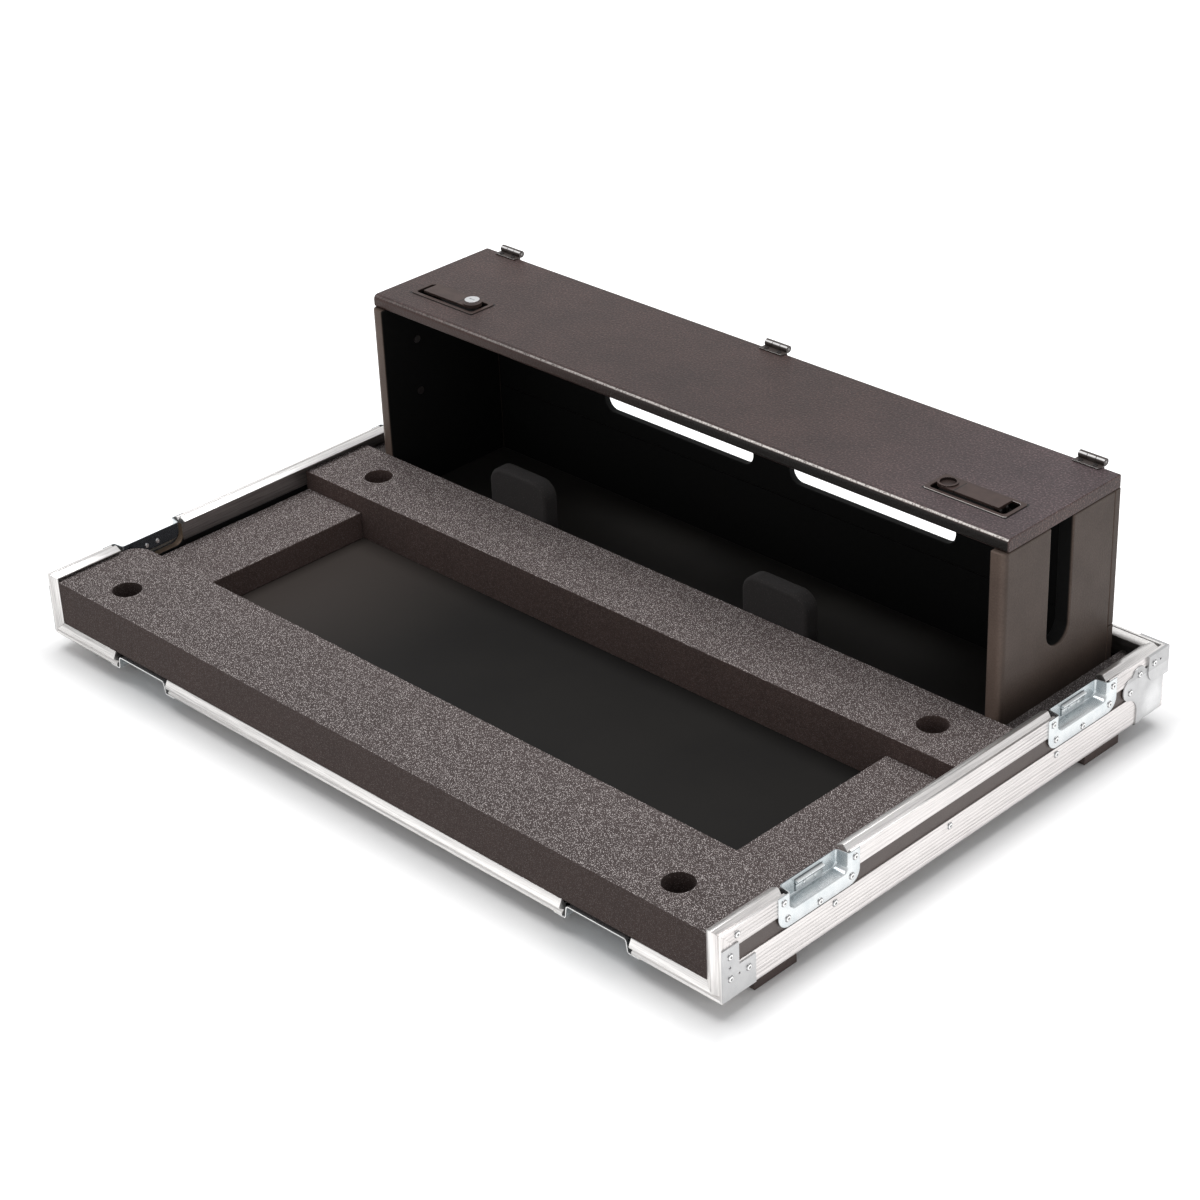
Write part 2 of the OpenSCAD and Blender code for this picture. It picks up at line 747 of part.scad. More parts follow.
module rear_slot_outline() {
    translate([rear_slot_in, rear_slot_z + rear_slot_r]) square([rear_slot_l, panel_top]);
    translate([rear_slot_in + rear_slot_r, rear_slot_z])
        square([rear_slot_l - 2 * rear_slot_r, panel_top]);
    for (x = [rear_slot_in + rear_slot_r, rear_slot_in + rear_slot_l - rear_slot_r])
        translate([x, rear_slot_z + rear_slot_r]) circle(rear_slot_r);
}

// Hinges: the middle knuckle belongs to one leaf and the outer two to the other
module at_hinges() for (x = [-hinge_x, 0, hinge_x]) translate([x, 0, 0]) children();

module knuckle(x0, x1, z) translate([x0, barrel_y, z]) rotate([90, 0, 90])
    difference() {
        cylinder(h = x1 - x0, r = barrel_r);
        translate([0, 0, -over]) cylinder(h = x1 - x0 + 2 * over, d = bore_d);
    }

// Leaf on the back face, up (way 1) or down (way -1) from the barrel at z
module back_leaf(z, way, middle) {
    near = z + way * (barrel_r + move_gap);
    far = z + way * (barrel_r + move_gap + leaf_l);
    box(-hinge_w / 2, hinge_w / 2, box_back, box_back + leaf_t, min(near, far), max(near, far));
    for (k = middle ? [0] : [-1, 1])
        let (x0 = (k - 0.5) * knuckle_w + (k > -1 ? move_gap / 2 : 0),
            x1 = (k + 0.5) * knuckle_w - (k < 1 ? move_gap / 2 : 0)) {
            knuckle(x0, x1, z);
            difference() {
                box(x0, x1, box_back, box_back + leaf_t, min(z, near), max(z, near));
                translate([0, barrel_y, z]) rotate([0, 90, 0])
                    cylinder(h = hinge_w, r = (barrel_r + pin_d / 2) / 2, center = true);
            }
        }
}

module top_leaf() {
    flat_y = lid_back;
    box(-hinge_w / 2, hinge_w / 2, flat_y - lid_leaf_l, flat_y, lid_top,
        lid_top + leaf_t);
    for (k = [-1, 1])
        let (x0 = (k - 0.5) * knuckle_w + (k > -1 ? move_gap / 2 : 0),
            x1 = (k + 0.5) * knuckle_w - (k < 1 ? move_gap / 2 : 0)) {
            knuckle(x0, x1, lid_axis_z);
            difference() {
                box(x0, x1, flat_y, barrel_y, lid_top, lid_top + leaf_t);
                translate([0, barrel_y, lid_axis_z]) rotate([0, 90, 0])
                    cylinder(h = hinge_w, r = (barrel_r + pin_d / 2) / 2, center = true);
            }
        }
}

module hinge_color() color([0.13, 0.12, 0.12]) children();

module strip_hinge_leaves() at_case() hinge_color() at_hinges() back_leaf(seam_z, -1, false);
module fold_hinge_leaves() at_case() hinge_color() at_hinges() back_leaf(seam_z, 1, true);
module flap_hinge_leaves() at_case() hinge_color() at_hinges() back_leaf(lid_axis_z, -1, true);
module lid_hinge_leaves() at_case() hinge_color() at_hinges() top_leaf();

module hinge_pins() at_case() color([0.30, 0.30, 0.30]) at_hinges()
    for (z = [seam_z, lid_axis_z]) translate([0, barrel_y, z]) rotate([0, 90, 0])
        cylinder(h = hinge_w, d = pin_d, center = true);

module screw_head() difference() {
    cylinder(h = screw_h, d1 = screw_d, d2 = screw_d * 0.7, $fn = 24);
    for (a = [0, 90]) rotate(a) translate([-screw_d / 4, -screw_h / 4, screw_h / 2])
        cube([screw_d / 2, screw_h / 2, screw_h]);
}

module back_screws(z, way) at_hinges() for (x = [-screw_side, screw_side])
    translate([x, box_back + leaf_t, z + way * (barrel_r + move_gap + leaf_l / 2)])
        rotate([-90, 0, 0]) screw_head();

module strip_hinge_screws() at_case() hinge_color() back_screws(seam_z, -1);
module flap_hinge_screws() at_case() hinge_color() {
    back_screws(seam_z, 1);
    back_screws(lid_axis_z, -1);
}
module lid_hinge_screws() at_case() hinge_color() at_hinges()
    for (x = [-screw_side, screw_side])
        translate([x, lid_back - lid_leaf_l / 2, lid_top + leaf_t])
            screw_head();

// Lid, with its front edge rounded and an opening for each lock
module lid_board() at_case() color([0.36, 0.32, 0.31]) difference() {
    translate([-box_half, 0, panel_top]) rotate([90, 0, 90]) linear_extrude(2 * box_half) {
        translate([lid_front, lid_under_r]) square([lid_back - lid_front, lid_t - lid_front_r
            - lid_under_r]);
        translate([lid_front + lid_front_r, 0]) square([lid_back - lid_front - lid_front_r,
            lid_t]);
        translate([lid_front + lid_front_r, lid_t - lid_front_r]) circle(lid_front_r);
        translate([lid_front + lid_under_r, lid_under_r]) circle(lid_under_r);
        translate([lid_front + lid_under_r, 0]) square([lid_front_r, lid_under_r]);
    }
    both_sides() at_lock_tray() translate([0, 0, -lid_t]) linear_extrude(2 * lid_t)
        square([frame_l - 2 * rim_w + 2 * foam_gap, frame_w - 2 * rim_w + 2 * foam_gap],
            center = true);
}

module at_lock_tray() translate([lock_x, lock_y, lid_top - lid_t / 2]) children();

module rounded(l, w, r) {
    square([l, w - 2 * r], center = true);
    square([l - 2 * r, w], center = true);
    for (x = [-1, 1], y = [-1, 1])
        translate([x * (l / 2 - r), y * (w / 2 - r)]) circle(r);
}

// Locks are drawn for the right side; the outer end is at +X
module lock_frame(s) at_case() color([0.20, 0.18, 0.17]) sided(-s) difference() {
    translate([lock_x, lock_y, 0]) {
        translate([0, 0, lid_top]) linear_extrude(rim_h) rounded(frame_l, frame_w, rim_corner);
        translate([0, 0, lid_top - tray_depth]) linear_extrude(tray_depth)
            square([frame_l - 2 * rim_w, frame_w - 2 * rim_w], center = true);
    }
    translate([lock_x, lock_y, lid_top - tray_depth + tray_floor])
        linear_extrude(tray_depth + rim_h)
            rounded(frame_l - 2 * (rim_w + tray_wall), frame_w - 2 * (rim_w + tray_wall),
                rim_corner);
    translate([spindle_x, lock_y, lid_top - tray_depth - over])
        cylinder(h = tray_depth, d = spindle_d + 2 * spindle_gap);
}

// Spindle with two cheeks that carry the lever's cross pin
module lock_spindle(s) at_case() color([0.30, 0.29, 0.28]) sided(-s) {
    difference() {
        union() {
            translate([spindle_x, lock_y, cam_z - nut_h])
                cylinder(h = tray_z + move_gap - cam_z + nut_h, d = spindle_d);
            translate([spindle_x, lock_y, tray_z + move_gap])
                cylinder(h = pivot_z - lug_r - tray_z - move_gap + cheek_foot, d = head_d);
            translate([spindle_x, lock_y, pivot_z]) rotate([90, 0, 0])
                cylinder(h = cheek_w, r = cheek_r, center = true);
            box(spindle_x - cheek_r, spindle_x + cheek_r, lock_y - cheek_w / 2,
                lock_y + cheek_w / 2, tray_z + move_gap, pivot_z);
        }
        box(spindle_x - head_d, spindle_x + head_d, lock_y - lug_w / 2 - move_gap,
            lock_y + lug_w / 2 + move_gap, pivot_z - lug_r - move_gap, lid_top + rim_h);
    }
    translate([spindle_x, lock_y, pivot_z]) rotate([90, 0, 0])
        cylinder(h = cheek_w, d = lever_pin_d, center = true);
}

// Lever: flat plate over the frame, a cup at its free end and a lug down to its pin
module lock_lever(s) at_case() color([0.22, 0.20, 0.19]) sided(-s) difference() {
    union() {
        translate([cup_x, lock_y - lever_w / 2, lever_low])
            cube([spindle_x + lever_tail - cup_x, lever_w, lever_t]);
        translate([cup_x, lock_y, lever_low]) cylinder(h = cup_h, r = cup_r);
        translate([spindle_x, lock_y, pivot_z]) rotate([90, 0, 0])
            cylinder(h = lug_w, r = lug_r, center = true);
        box(spindle_x - lug_r, spindle_x + lug_r, lock_y - lug_w / 2,
            lock_y + lug_w / 2, pivot_z, lever_low + lever_t / 2);
    }
    translate([spindle_x, lock_y, pivot_z]) rotate([90, 0, 0])
        cylinder(h = 2 * lug_w, d = lever_pin_d + 2 * run_gap, center = true);
    translate([cup_x, lock_y, lever_low + cup_floor])
        cylinder(h = cup_h, d = key_d + 2 * run_gap);
}

module lock_cam(s) at_case() color([0.55, 0.55, 0.54]) sided(-s) {
    difference() {
        union() {
            translate([spindle_x, lock_y, cam_z]) cylinder(h = cam_t, r = cam_hub_r);
            box(spindle_x, spindle_x + cam_reach, lock_y - cam_w / 2, lock_y + cam_w / 2,
                cam_z, cam_z + cam_t);
        }
        translate([spindle_x, lock_y, cam_z - over])
            cylinder(h = cam_t + 2 * over, d = spindle_d + 2 * run_gap);
    }
    translate([spindle_x, lock_y, cam_z - nut_h]) difference() {
        cylinder(h = nut_h, d = nut_af / cos(30), $fn = 6);
        translate([0, 0, -over]) cylinder(h = nut_h + 2 * over, d = spindle_d + 2 * run_gap);
    }
}

// Round key cylinder that turns in the left lever's cup, with a plain keyway
module key_cylinder() at_case() color([0.85, 0.86, 0.87])
    translate([-cup_x, lock_y, lever_low + cup_floor + run_gap]) difference() {
        cylinder(h = key_h, d = key_d);
        translate([-key_d / 4, -key_d / 16, key_h - over])
            cube([key_d / 2, key_d / 8, 2 * over]);
    }

base_board();
side_wall_board(-1);  // left_wall_board
side_wall_board(1);  // right_wall_board
rear_wall_board();
side_top_rail(-1);  // left_top_rail
side_top_rail(1);  // right_top_rail
rear_top_rail();
side_bottom_angle(-1);  // left_bottom_angle
side_bottom_angle(1);  // right_bottom_angle
rear_bottom_angle();
rear_corner_angles();
front_bottom_rail();
front_post(-1);  // left_front_post
front_post(1);  // right_front_post
ball_corner(-1);  // left_ball_corner
ball_corner(1);  // right_ball_corner
corner_caps();
corner_braces();
side_dish(-1, dish_front_y);  // left_front_dish
side_dish(-1, dish_rear_y);  // left_rear_dish
side_dish(1, dish_front_y);  // right_front_dish
side_dish(1, dish_rear_y);  // right_rear_dish
bottom_dish(-1);  // left_bottom_dish
bottom_dish(1);  // right_bottom_dish
catch_plates();
case_rivets();
feet();
front_foam();
rear_foam();
block_foam(-1);  // left_block_foam
block_foam(1);  // right_block_foam
gap_foam(-1);  // left_gap_foam
gap_foam(1);  // right_gap_foam
foam_pad(left_pad_share * half_w);  // left_foam_pad
foam_pad(right_pad_share * half_w);  // right_foam_pad
side_panel(-1);  // left_side_panel
side_panel(1);  // right_side_panel
panel_bumpers();
rear_strip();
strip_hinge_leaves();
strip_hinge_screws();
rear_flap();
fold_hinge_leaves();
flap_hinge_leaves();
hinge_pins();
flap_hinge_screws();
lid_board();
lid_hinge_leaves();
lid_hinge_screws();
lock_frame(-1);  // left_lock_frame
lock_frame(1);  // right_lock_frame
lock_spindle(-1);  // left_lock_spindle
lock_spindle(1);  // right_lock_spindle
lock_lever(-1);  // left_lock_lever
lock_lever(1);  // right_lock_lever
lock_cam(-1);  // left_lock_cam
lock_cam(1);  // right_lock_cam
key_cylinder();
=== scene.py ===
import math
import bpy
import bmesh
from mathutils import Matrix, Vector
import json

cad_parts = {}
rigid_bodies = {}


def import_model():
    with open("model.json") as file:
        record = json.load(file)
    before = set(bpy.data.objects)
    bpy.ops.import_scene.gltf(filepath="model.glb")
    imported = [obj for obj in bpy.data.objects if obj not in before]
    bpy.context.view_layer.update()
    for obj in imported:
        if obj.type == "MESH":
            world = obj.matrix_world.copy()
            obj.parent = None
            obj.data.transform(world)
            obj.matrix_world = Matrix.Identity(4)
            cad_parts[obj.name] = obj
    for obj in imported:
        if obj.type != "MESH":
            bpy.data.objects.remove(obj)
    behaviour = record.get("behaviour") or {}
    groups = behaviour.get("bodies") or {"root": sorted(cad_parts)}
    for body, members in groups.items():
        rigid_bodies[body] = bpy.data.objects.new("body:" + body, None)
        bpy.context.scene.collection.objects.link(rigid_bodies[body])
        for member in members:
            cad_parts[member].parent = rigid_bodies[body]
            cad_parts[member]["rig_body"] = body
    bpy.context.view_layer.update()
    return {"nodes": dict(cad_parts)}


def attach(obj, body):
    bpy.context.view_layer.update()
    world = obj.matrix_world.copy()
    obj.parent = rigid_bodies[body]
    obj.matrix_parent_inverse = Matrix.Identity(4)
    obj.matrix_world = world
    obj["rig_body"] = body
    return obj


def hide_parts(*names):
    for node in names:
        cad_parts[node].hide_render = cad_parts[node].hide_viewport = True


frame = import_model()
nodes = frame["nodes"]
bodyOf = {name: thing["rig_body"] for name, thing in nodes.items()}
print("frame loaded:", len(nodes), "nodes")

tray = {  # sizes of the tray, in millimetres, as the solids have them
    "halfWidth": 500, "depth": 668, "wall": 74, "feet": 20, "middle": 334.8,
}


def place(x, y, z):
    # a point given from the tray's middle, front face and underside
    return Vector((x, y - tray["middle"], z + tray["feet"])) / 1000


class Flow:
    # a shader socket that takes part in plain sums
    def __init__(self, tree, socket=None):
        self.tree = tree
        self.socket = socket

    def add(self, kind, settings=None, inputs=None, output=0):
        node = self.tree.nodes.new(kind)
        for name, value in (settings or {}).items():
            setattr(node, name, value)
        for name, value in (inputs or {}).items():
            if isinstance(value, Flow):
                self.tree.links.new(value.socket, node.inputs[name])
            elif isinstance(value, tuple) and node.inputs[name].type == "RGBA":
                node.inputs[name].default_value = (*value, 1)
            else:
                node.inputs[name].default_value = value
        return Flow(self.tree, node.outputs[output] if len(node.outputs) else None)

    def kindWith(self, other):
        kinds = [self.socket.type] + ([other.socket.type] if isinstance(other, Flow) else [])
        if "RGBA" in kinds or (isinstance(other, tuple) and self.socket.type != "VECTOR"):
            return "colour"
        return "vector" if "VECTOR" in kinds or isinstance(other, tuple) else "value"

    def sum(self, operation, first, second):
        kind = self.kindWith(second if first is self else first)
        if kind == "value":
            return self.add("ShaderNodeMath", {"operation": operation}, {0: first, 1: second})
        first, second = [v if isinstance(v, (Flow, tuple)) else (v, v, v) for v in (first, second)]
        if kind == "vector":
            return self.add("ShaderNodeVectorMath", {"operation": operation}, {0: first, 1: second})
        return self.add("ShaderNodeMix", {"data_type": "RGBA", "blend_type": operation},
                        {0: 1.0, 6: first, 7: second}, 2)

    def __add__(self, other):
        return self.sum("ADD", self, other)

    def __radd__(self, other):
        return self.sum("ADD", other, self)

    def __sub__(self, other):
        return self.sum("SUBTRACT", self, other)

    def __rsub__(self, other):
        return self.sum("SUBTRACT", other, self)

    def __mul__(self, other):
        return self.sum("MULTIPLY", self, other)

    def __rmul__(self, other):
        return self.sum("MULTIPLY", other, self)

    def between(self, low, high):
        # low where this is 0, high where it is 1
        plain = all(isinstance(v, (int, float)) or (isinstance(v, Flow) and v.socket.type == "VALUE")
                    for v in (low, high))
        if plain:
            return self.add("ShaderNodeMix", {"data_type": "FLOAT"}, {0: self, 2: low, 3: high}, 0)
        return self.add("ShaderNodeMix", {"data_type": "RGBA"}, {0: self, 6: low, 7: high}, 2)

    def ramp(self, low, high):
        # 0 up to low, 1 from high on
        return self.add("ShaderNodeMapRange", {"clamp": True, "interpolation_type": "SMOOTHSTEP"},
                        {0: self, 1: low, 2: high, 3: 0.0, 4: 1.0})

    def size(self):
        return self.add("ShaderNodeMath", {"operation": "ABSOLUTE"}, {0: self})

    def larger(self, other):
        return self.sum("MAXIMUM", self, other)

    def part(self, i):
        return self.add("ShaderNodeSeparateXYZ", {}, {0: self}, i)

    def noise(self, scale, detail, rough, stretch=None):
        where = self * stretch if stretch else self
        return self.add("ShaderNodeTexNoise", {"noise_dimensions": "3D"},
                        {"Vector": where, "Scale": scale, "Detail": detail, "Roughness": rough})

    def cells(self, scale):
        return self.add("ShaderNodeTexVoronoi", {"feature": "F1"},
                        {"Vector": self, "Scale": scale, "Randomness": 1.0})

    def bump(self, strength, depth):
        return self.add("ShaderNodeBump", {}, {"Height": self, "Strength": strength, "Distance": depth})


def material(name, build):
    finish = bpy.data.materials.new(name)
    finish.use_nodes = True
    tree = finish.node_tree
    tree.nodes.clear()
    flow = Flow(tree)
    where = flow.add("ShaderNodeTexCoord", output=3)
    facing = flow.add("ShaderNodeNewGeometry", output=1)
    shader = flow.add("ShaderNodeBsdfPrincipled", {}, build(where, facing))
    flow.add("ShaderNodeOutputMaterial", {}, {0: shader})
    return finish


# Finishes

metals = {
    # colours
    "aluminium": (0.95, 0.93, 0.91), "shadedSideAluminium": (0.80, 0.765, 0.75),
    "zinc": (0.73, 0.755, 0.76), "zincDark": (0.62, 0.66, 0.675), "zincRecessShade": (0.42, 0.475, 0.50),
    "zincShadowLine": (0.10, 0.115, 0.125), "zincBackShade": (0.10, 0.115, 0.13), "zincHighlight": (0.95, 0.95, 0.94),
    "satin": (0.63, 0.63, 0.63), "satinDark": (0.53, 0.53, 0.535),
    "rivet": (0.93, 0.93, 0.92), "rivetShade": (0.30, 0.30, 0.305),
    "black": (0.020, 0.016, 0.015), "blackWorn": (0.075, 0.068, 0.062),
    "dull": (0.30, 0.29, 0.28), "dullDark": (0.24, 0.235, 0.23),
    "chrome": (0.86, 0.87, 0.88), "chromeHaze": (0.78, 0.79, 0.80),
    "paint": (0.066, 0.041, 0.035), "paintDark": (0.047, 0.029, 0.025), "paintEdgeHighlight": (0.62, 0.58, 0.56),
    "leaf": (0.052, 0.042, 0.038), "leafPale": (0.070, 0.056, 0.051), "leafShine": (0.90, 0.89, 0.88),
    # the rails' gloss, the stretch of their fine lines along them, and the share of light that is left
    # in those lines and on their shaded sides
    "metallic": 0.85, "roughness": 0.30, "stretch": 0.012, "lineDark": 0.70, "lineInner": 0.45,
    "innerShade": 0.55, "frontShade": 0.78, "rearShade": 0.30,
    # places and widths, in metres; a pair says where a change of tone begins and ends
    "rearRail": (0.2, 0.3), "frontFade": (-0.50, 0.20),
    "sideDepth": (0.4892, 0.4992), "underDepth": (0.0208, 0.0308), "bottomDishes": (0.036, 0.040),
    "backSide": (0.4865, 0.4867), "frontEdge": (0.33455, 0.33465),
    "plateY": -0.0053, "plateApart": 0.1985, "plateHalf": (0.0190, 0.0196),
    "plateFoot": (0.0768, 0.0774), "plateHead": (0.0906, 0.0912),
    "foldHeight": 0.0852, "foldHalf": (0.0003, 0.0007),
    "ballMiddle": (0.504, 0.315, 0.040), "ballRadii": (0.006, 0.024),
    "capHeight": (0.0765, 0.0775), "capFrom": (0.2, 0.21),
    "leverTop": (0.2873, 0.2876), "leverSeam": 0.3577, "seamHalf": (0.0004, 0.0007),
    "cupMiddle": (0.34275, 0.1712), "cupRadii": (0.0086, 0.0089), "cupTop": (0.2906, 0.2910),
    "frameFloor": (0.2835, 0.2862), "rightLock": (0.0, 0.1),
}


def alongRail(axis):
    # drawn aluminium, with fine lines that follow the length, and painted shade on some of its faces
    stretch = tuple(metals["stretch"] if i == axis else 1.0 for i in range(3))

    def build(where, facing):
        fine = where.noise(2600.0, 2.0, 0.6, stretch)
        broad = where.noise(420.0, 3.0, 0.6, stretch)
        stains = where.noise(14.0, 4.0, 0.6)
        lines = fine * 0.55 + broad * 0.45
        outward = where.part(0) * facing.part(0) + where.part(1) * facing.part(1)
        # painted shade on the inner legs, on the front faces towards the left and on the rear rail's inward
        # slope
        inner = (0.0 - outward).ramp(0.10, 0.30) * (1.0 - facing.part(2).ramp(0.3, 0.6))
        front = (0.0 - facing.part(1)).ramp(0.5, 0.9) * (1.0 - where.part(0).ramp(*metals["frontFade"]))
        rear = (0.0 - facing.part(1)).ramp(0.08, 0.28) * where.part(1).ramp(*metals["rearRail"])
        dark = inner.larger(front).between(metals["lineDark"], metals["lineInner"])
        shade = lines.ramp(0.34, 0.58).between(dark, 1.0) * inner.between(1.0, metals["innerShade"])
        shade = shade * front.between(1.0, metals["frontShade"]) * rear.between(1.0, metals["rearShade"])
        # painted shade on the upright sides
        side = facing.part(0).size().ramp(0.6, 0.9)
        grime = stains.ramp(0.45, 0.8) * 0.06
        clean = side.between(metals["aluminium"], metals["shadedSideAluminium"])
        return {"Base Color": (shade - grime).between((0, 0, 0), clean), "Metallic": metals["metallic"],
                "Roughness": lines.between(metals["roughness"] - 0.1, metals["roughness"] + 0.12),
                "Normal": lines.bump(0.35, 0.0002)}
    return build


def pressedZinc(where, facing):
    # a painted highlight on the cut edges, painted shade down in the recesses and on the back,
    # and a painted shadow line round each catch plate; paler on the flanges
    clouds = where.noise(60.0, 4.0, 0.6)
    flange = clouds.ramp(0.30, 0.65).between(metals["zincDark"], metals["zinc"])
    across = where.part(0).size()
    fromSide = 1.0 - across.ramp(*metals["sideDepth"])
    fromUnder = where.part(2).ramp(*metals["underDepth"])
    bottom = 1.0 - where.part(2).ramp(*metals["bottomDishes"])
    depth = bottom.between(fromSide, fromUnder)
    # painted shade down in the recesses
    shade = (depth * 0.55).between(flange, metals["zincRecessShade"])
    # a painted shadow line round each catch plate
    plateSide = ((where.part(1) - metals["plateY"]).size() - metals["plateApart"]).size()
    line = (1.0 - plateSide.ramp(*metals["plateHalf"])) * where.part(2).ramp(*metals["plateFoot"])
    line = line * depth.ramp(0.93, 0.97) * (1.0 - where.part(2).ramp(*metals["plateHead"]))
    shade = (line * (1.0 - bottom)).between(shade, metals["zincShadowLine"])
    # painted shade on the back of the dishes
    back = 1.0 - across.ramp(*metals["backSide"])
    shade = (back * (1.0 - bottom)).between(shade, metals["zincBackShade"])
    # a painted highlight along the cut edges
    edge = (0.0 - where.part(1)).ramp(*metals["frontEdge"])
    return {"Base Color": edge.between(shade, metals["zincHighlight"]), "Metallic": 0.85,
            "Roughness": clouds.between(0.20, 0.30), "Normal": clouds.bump(0.05, 0.0005)}


def catchSteel(where, facing):
    # a painted highlight where it leans back or looks up, and a painted shadow line along the fold under the
    # lip
    clouds = where.noise(90.0, 4.0, 0.6)
    lean = (0.0 - where.part(0) * facing.part(0)).ramp(0.0, 0.2) + facing.part(2).ramp(0.6, 0.9)
    shade = clouds.ramp(0.3, 0.65).between(metals["zincDark"], metals["zinc"])
    fold = 1.0 - (where.part(2) - metals["foldHeight"]).size().ramp(*metals["foldHalf"])
    shade = fold.between(shade, metals["zincShadowLine"])
    return {"Base Color": lean.between(shade, metals["zincHighlight"]), "Metallic": 0.7,
            "Roughness": clouds.between(0.22, 0.34)}


def satinSteel(where, facing):
    # a painted highlight on the ball corners' bulge, a little darker on the tops of the corner caps
    clouds = where.noise(45.0, 4.0, 0.6)
    grain = where.noise(1500.0, 2.0, 0.6)
    shade = (clouds * 0.6 + grain * 0.4).ramp(0.3, 0.65)
    middle, (near, far) = metals["ballMiddle"], metals["ballRadii"]
    x, y, z = where.part(0).size() - middle[0], where.part(1) - middle[1], where.part(2) - middle[2]
    bulgeHighlight = 1.0 - (x * x + y * y + z * z).ramp(near ** 2, far ** 2)
    high = where.part(2).ramp(*metals["capHeight"]) * where.part(1).ramp(*metals["capFrom"])
    tone = bulgeHighlight.between(1.0, 1.30) * high.between(1.0, 0.84)
    return {"Base Color": shade.between(metals["satinDark"], metals["satin"]) * tone, "Metallic": 0.7,
            "Roughness": shade.between(0.46, 0.36), "Normal": grain.bump(0.2, 0.00015)}


def rivetHead(where, facing):
    # a painted highlight on the flat of the head, painted shade round its slope and in its hollow
    scratch = where.noise(700.0, 3.0, 0.6)
    flat = facing.part(0).size().larger(facing.part(1).size()).larger(facing.part(2).size())
    shade = flat.ramp(0.80, 0.98).between(metals["rivetShade"], metals["rivet"])
    return {"Base Color": shade, "Metallic": 0.85, "Roughness": scratch.between(0.20, 0.32),
            "Normal": scratch.bump(0.15, 0.0001)}


def blackMetal(where, facing):
    grain = where.noise(1600.0, 2.0, 0.5)
    worn = where.noise(120.0, 4.0, 0.7).ramp(0.60, 0.78)
    return {"Base Color": worn.between(metals["black"], metals["blackWorn"]), "Metallic": 0.25,
            "Roughness": grain.between(0.34, 0.52), "Normal": grain.bump(0.25, 0.0002)}


def hingeSteel(where, facing):
    # smooth dark leaves, with a painted highlight along the round knuckles
    cloud = where.noise(120.0, 3.0, 0.5)
    shine = ((0.0 - facing.part(1)) * facing.part(2) * 2.0).ramp(0.80, 0.96)
    leaf = cloud.between(metals["leaf"], metals["leafPale"])
    return {"Base Color": shine.between(leaf, metals["leafShine"]), "Metallic": 0.3,
            "Roughness": cloud.between(0.34, 0.44), "Normal": cloud.bump(0.1, 0.0002)}


def lockPaint(where, facing):
    # painted like the lid: pale with a painted highlight along the upper front rims, and dark with painted
    # shade down the sides, in the cups and in the tray
    grain = where.noise(1600.0, 2.0, 0.5)
    cloud = where.noise(60.0, 4.0, 0.6)
    slope = facing.part(2).size()
    edge = (0.0 - facing.part(1)).ramp(0.10, 0.40)
    rim = slope.ramp(0.30, 0.55) * (1.0 - slope.ramp(0.93, 0.99)) * edge
    side = 1.0 - slope.ramp(0.10, 0.30)
    across = where.part(0).size()
    high = where.part(2).ramp(*metals["leverTop"])
    seam = high * (1.0 - (across - metals["leverSeam"]).size().ramp(*metals["seamHalf"]))
    cupX, cupY = across - metals["cupMiddle"][0], where.part(1) - metals["cupMiddle"][1]
    near, far = metals["cupRadii"]
    cup = 1.0 - (cupX * cupX + cupY * cupY).ramp(near ** 2, far ** 2)
    cup = cup * high * (1.0 - where.part(2).ramp(*metals["cupTop"]))
    sunk = 1.0 - where.part(2).ramp(*metals["frameFloor"])
    dark = 1.0 - (1.0 - side * 0.3) * (1.0 - seam) * (1.0 - cup * 0.45) * (1.0 - sunk)
    paint = cloud.ramp(0.3, 0.7).between(metals["paintDark"], metals["paint"])
    # the painted highlight is strong only on the right lock's edges
    rim = rim * where.part(0).ramp(*metals["rightLock"]).between(0.12, 1.0)
    shade = dark.between(rim.between(paint, metals["paintEdgeHighlight"]), boards["darkPaintAndShade"])
    return {"Base Color": shade, "Metallic": 0.0, "Specular IOR Level": 0.25,
            "Roughness": grain.between(0.36, 0.50), "Normal": grain.bump(0.25, 0.0002)}


def dullSteel(where, facing):
    grain = where.noise(1200.0, 2.0, 0.5)
    return {"Base Color": grain.between(metals["dullDark"], metals["dull"]), "Metallic": 0.9,
            "Roughness": grain.between(0.35, 0.5), "Normal": grain.bump(0.2, 0.0001)}


def chromePlate(where, facing):
    haze = where.noise(300.0, 3.0, 0.5)
    return {"Base Color": haze.between(metals["chromeHaze"], metals["chrome"]), "Metallic": 1.0,
            "Roughness": haze.between(0.06, 0.14)}


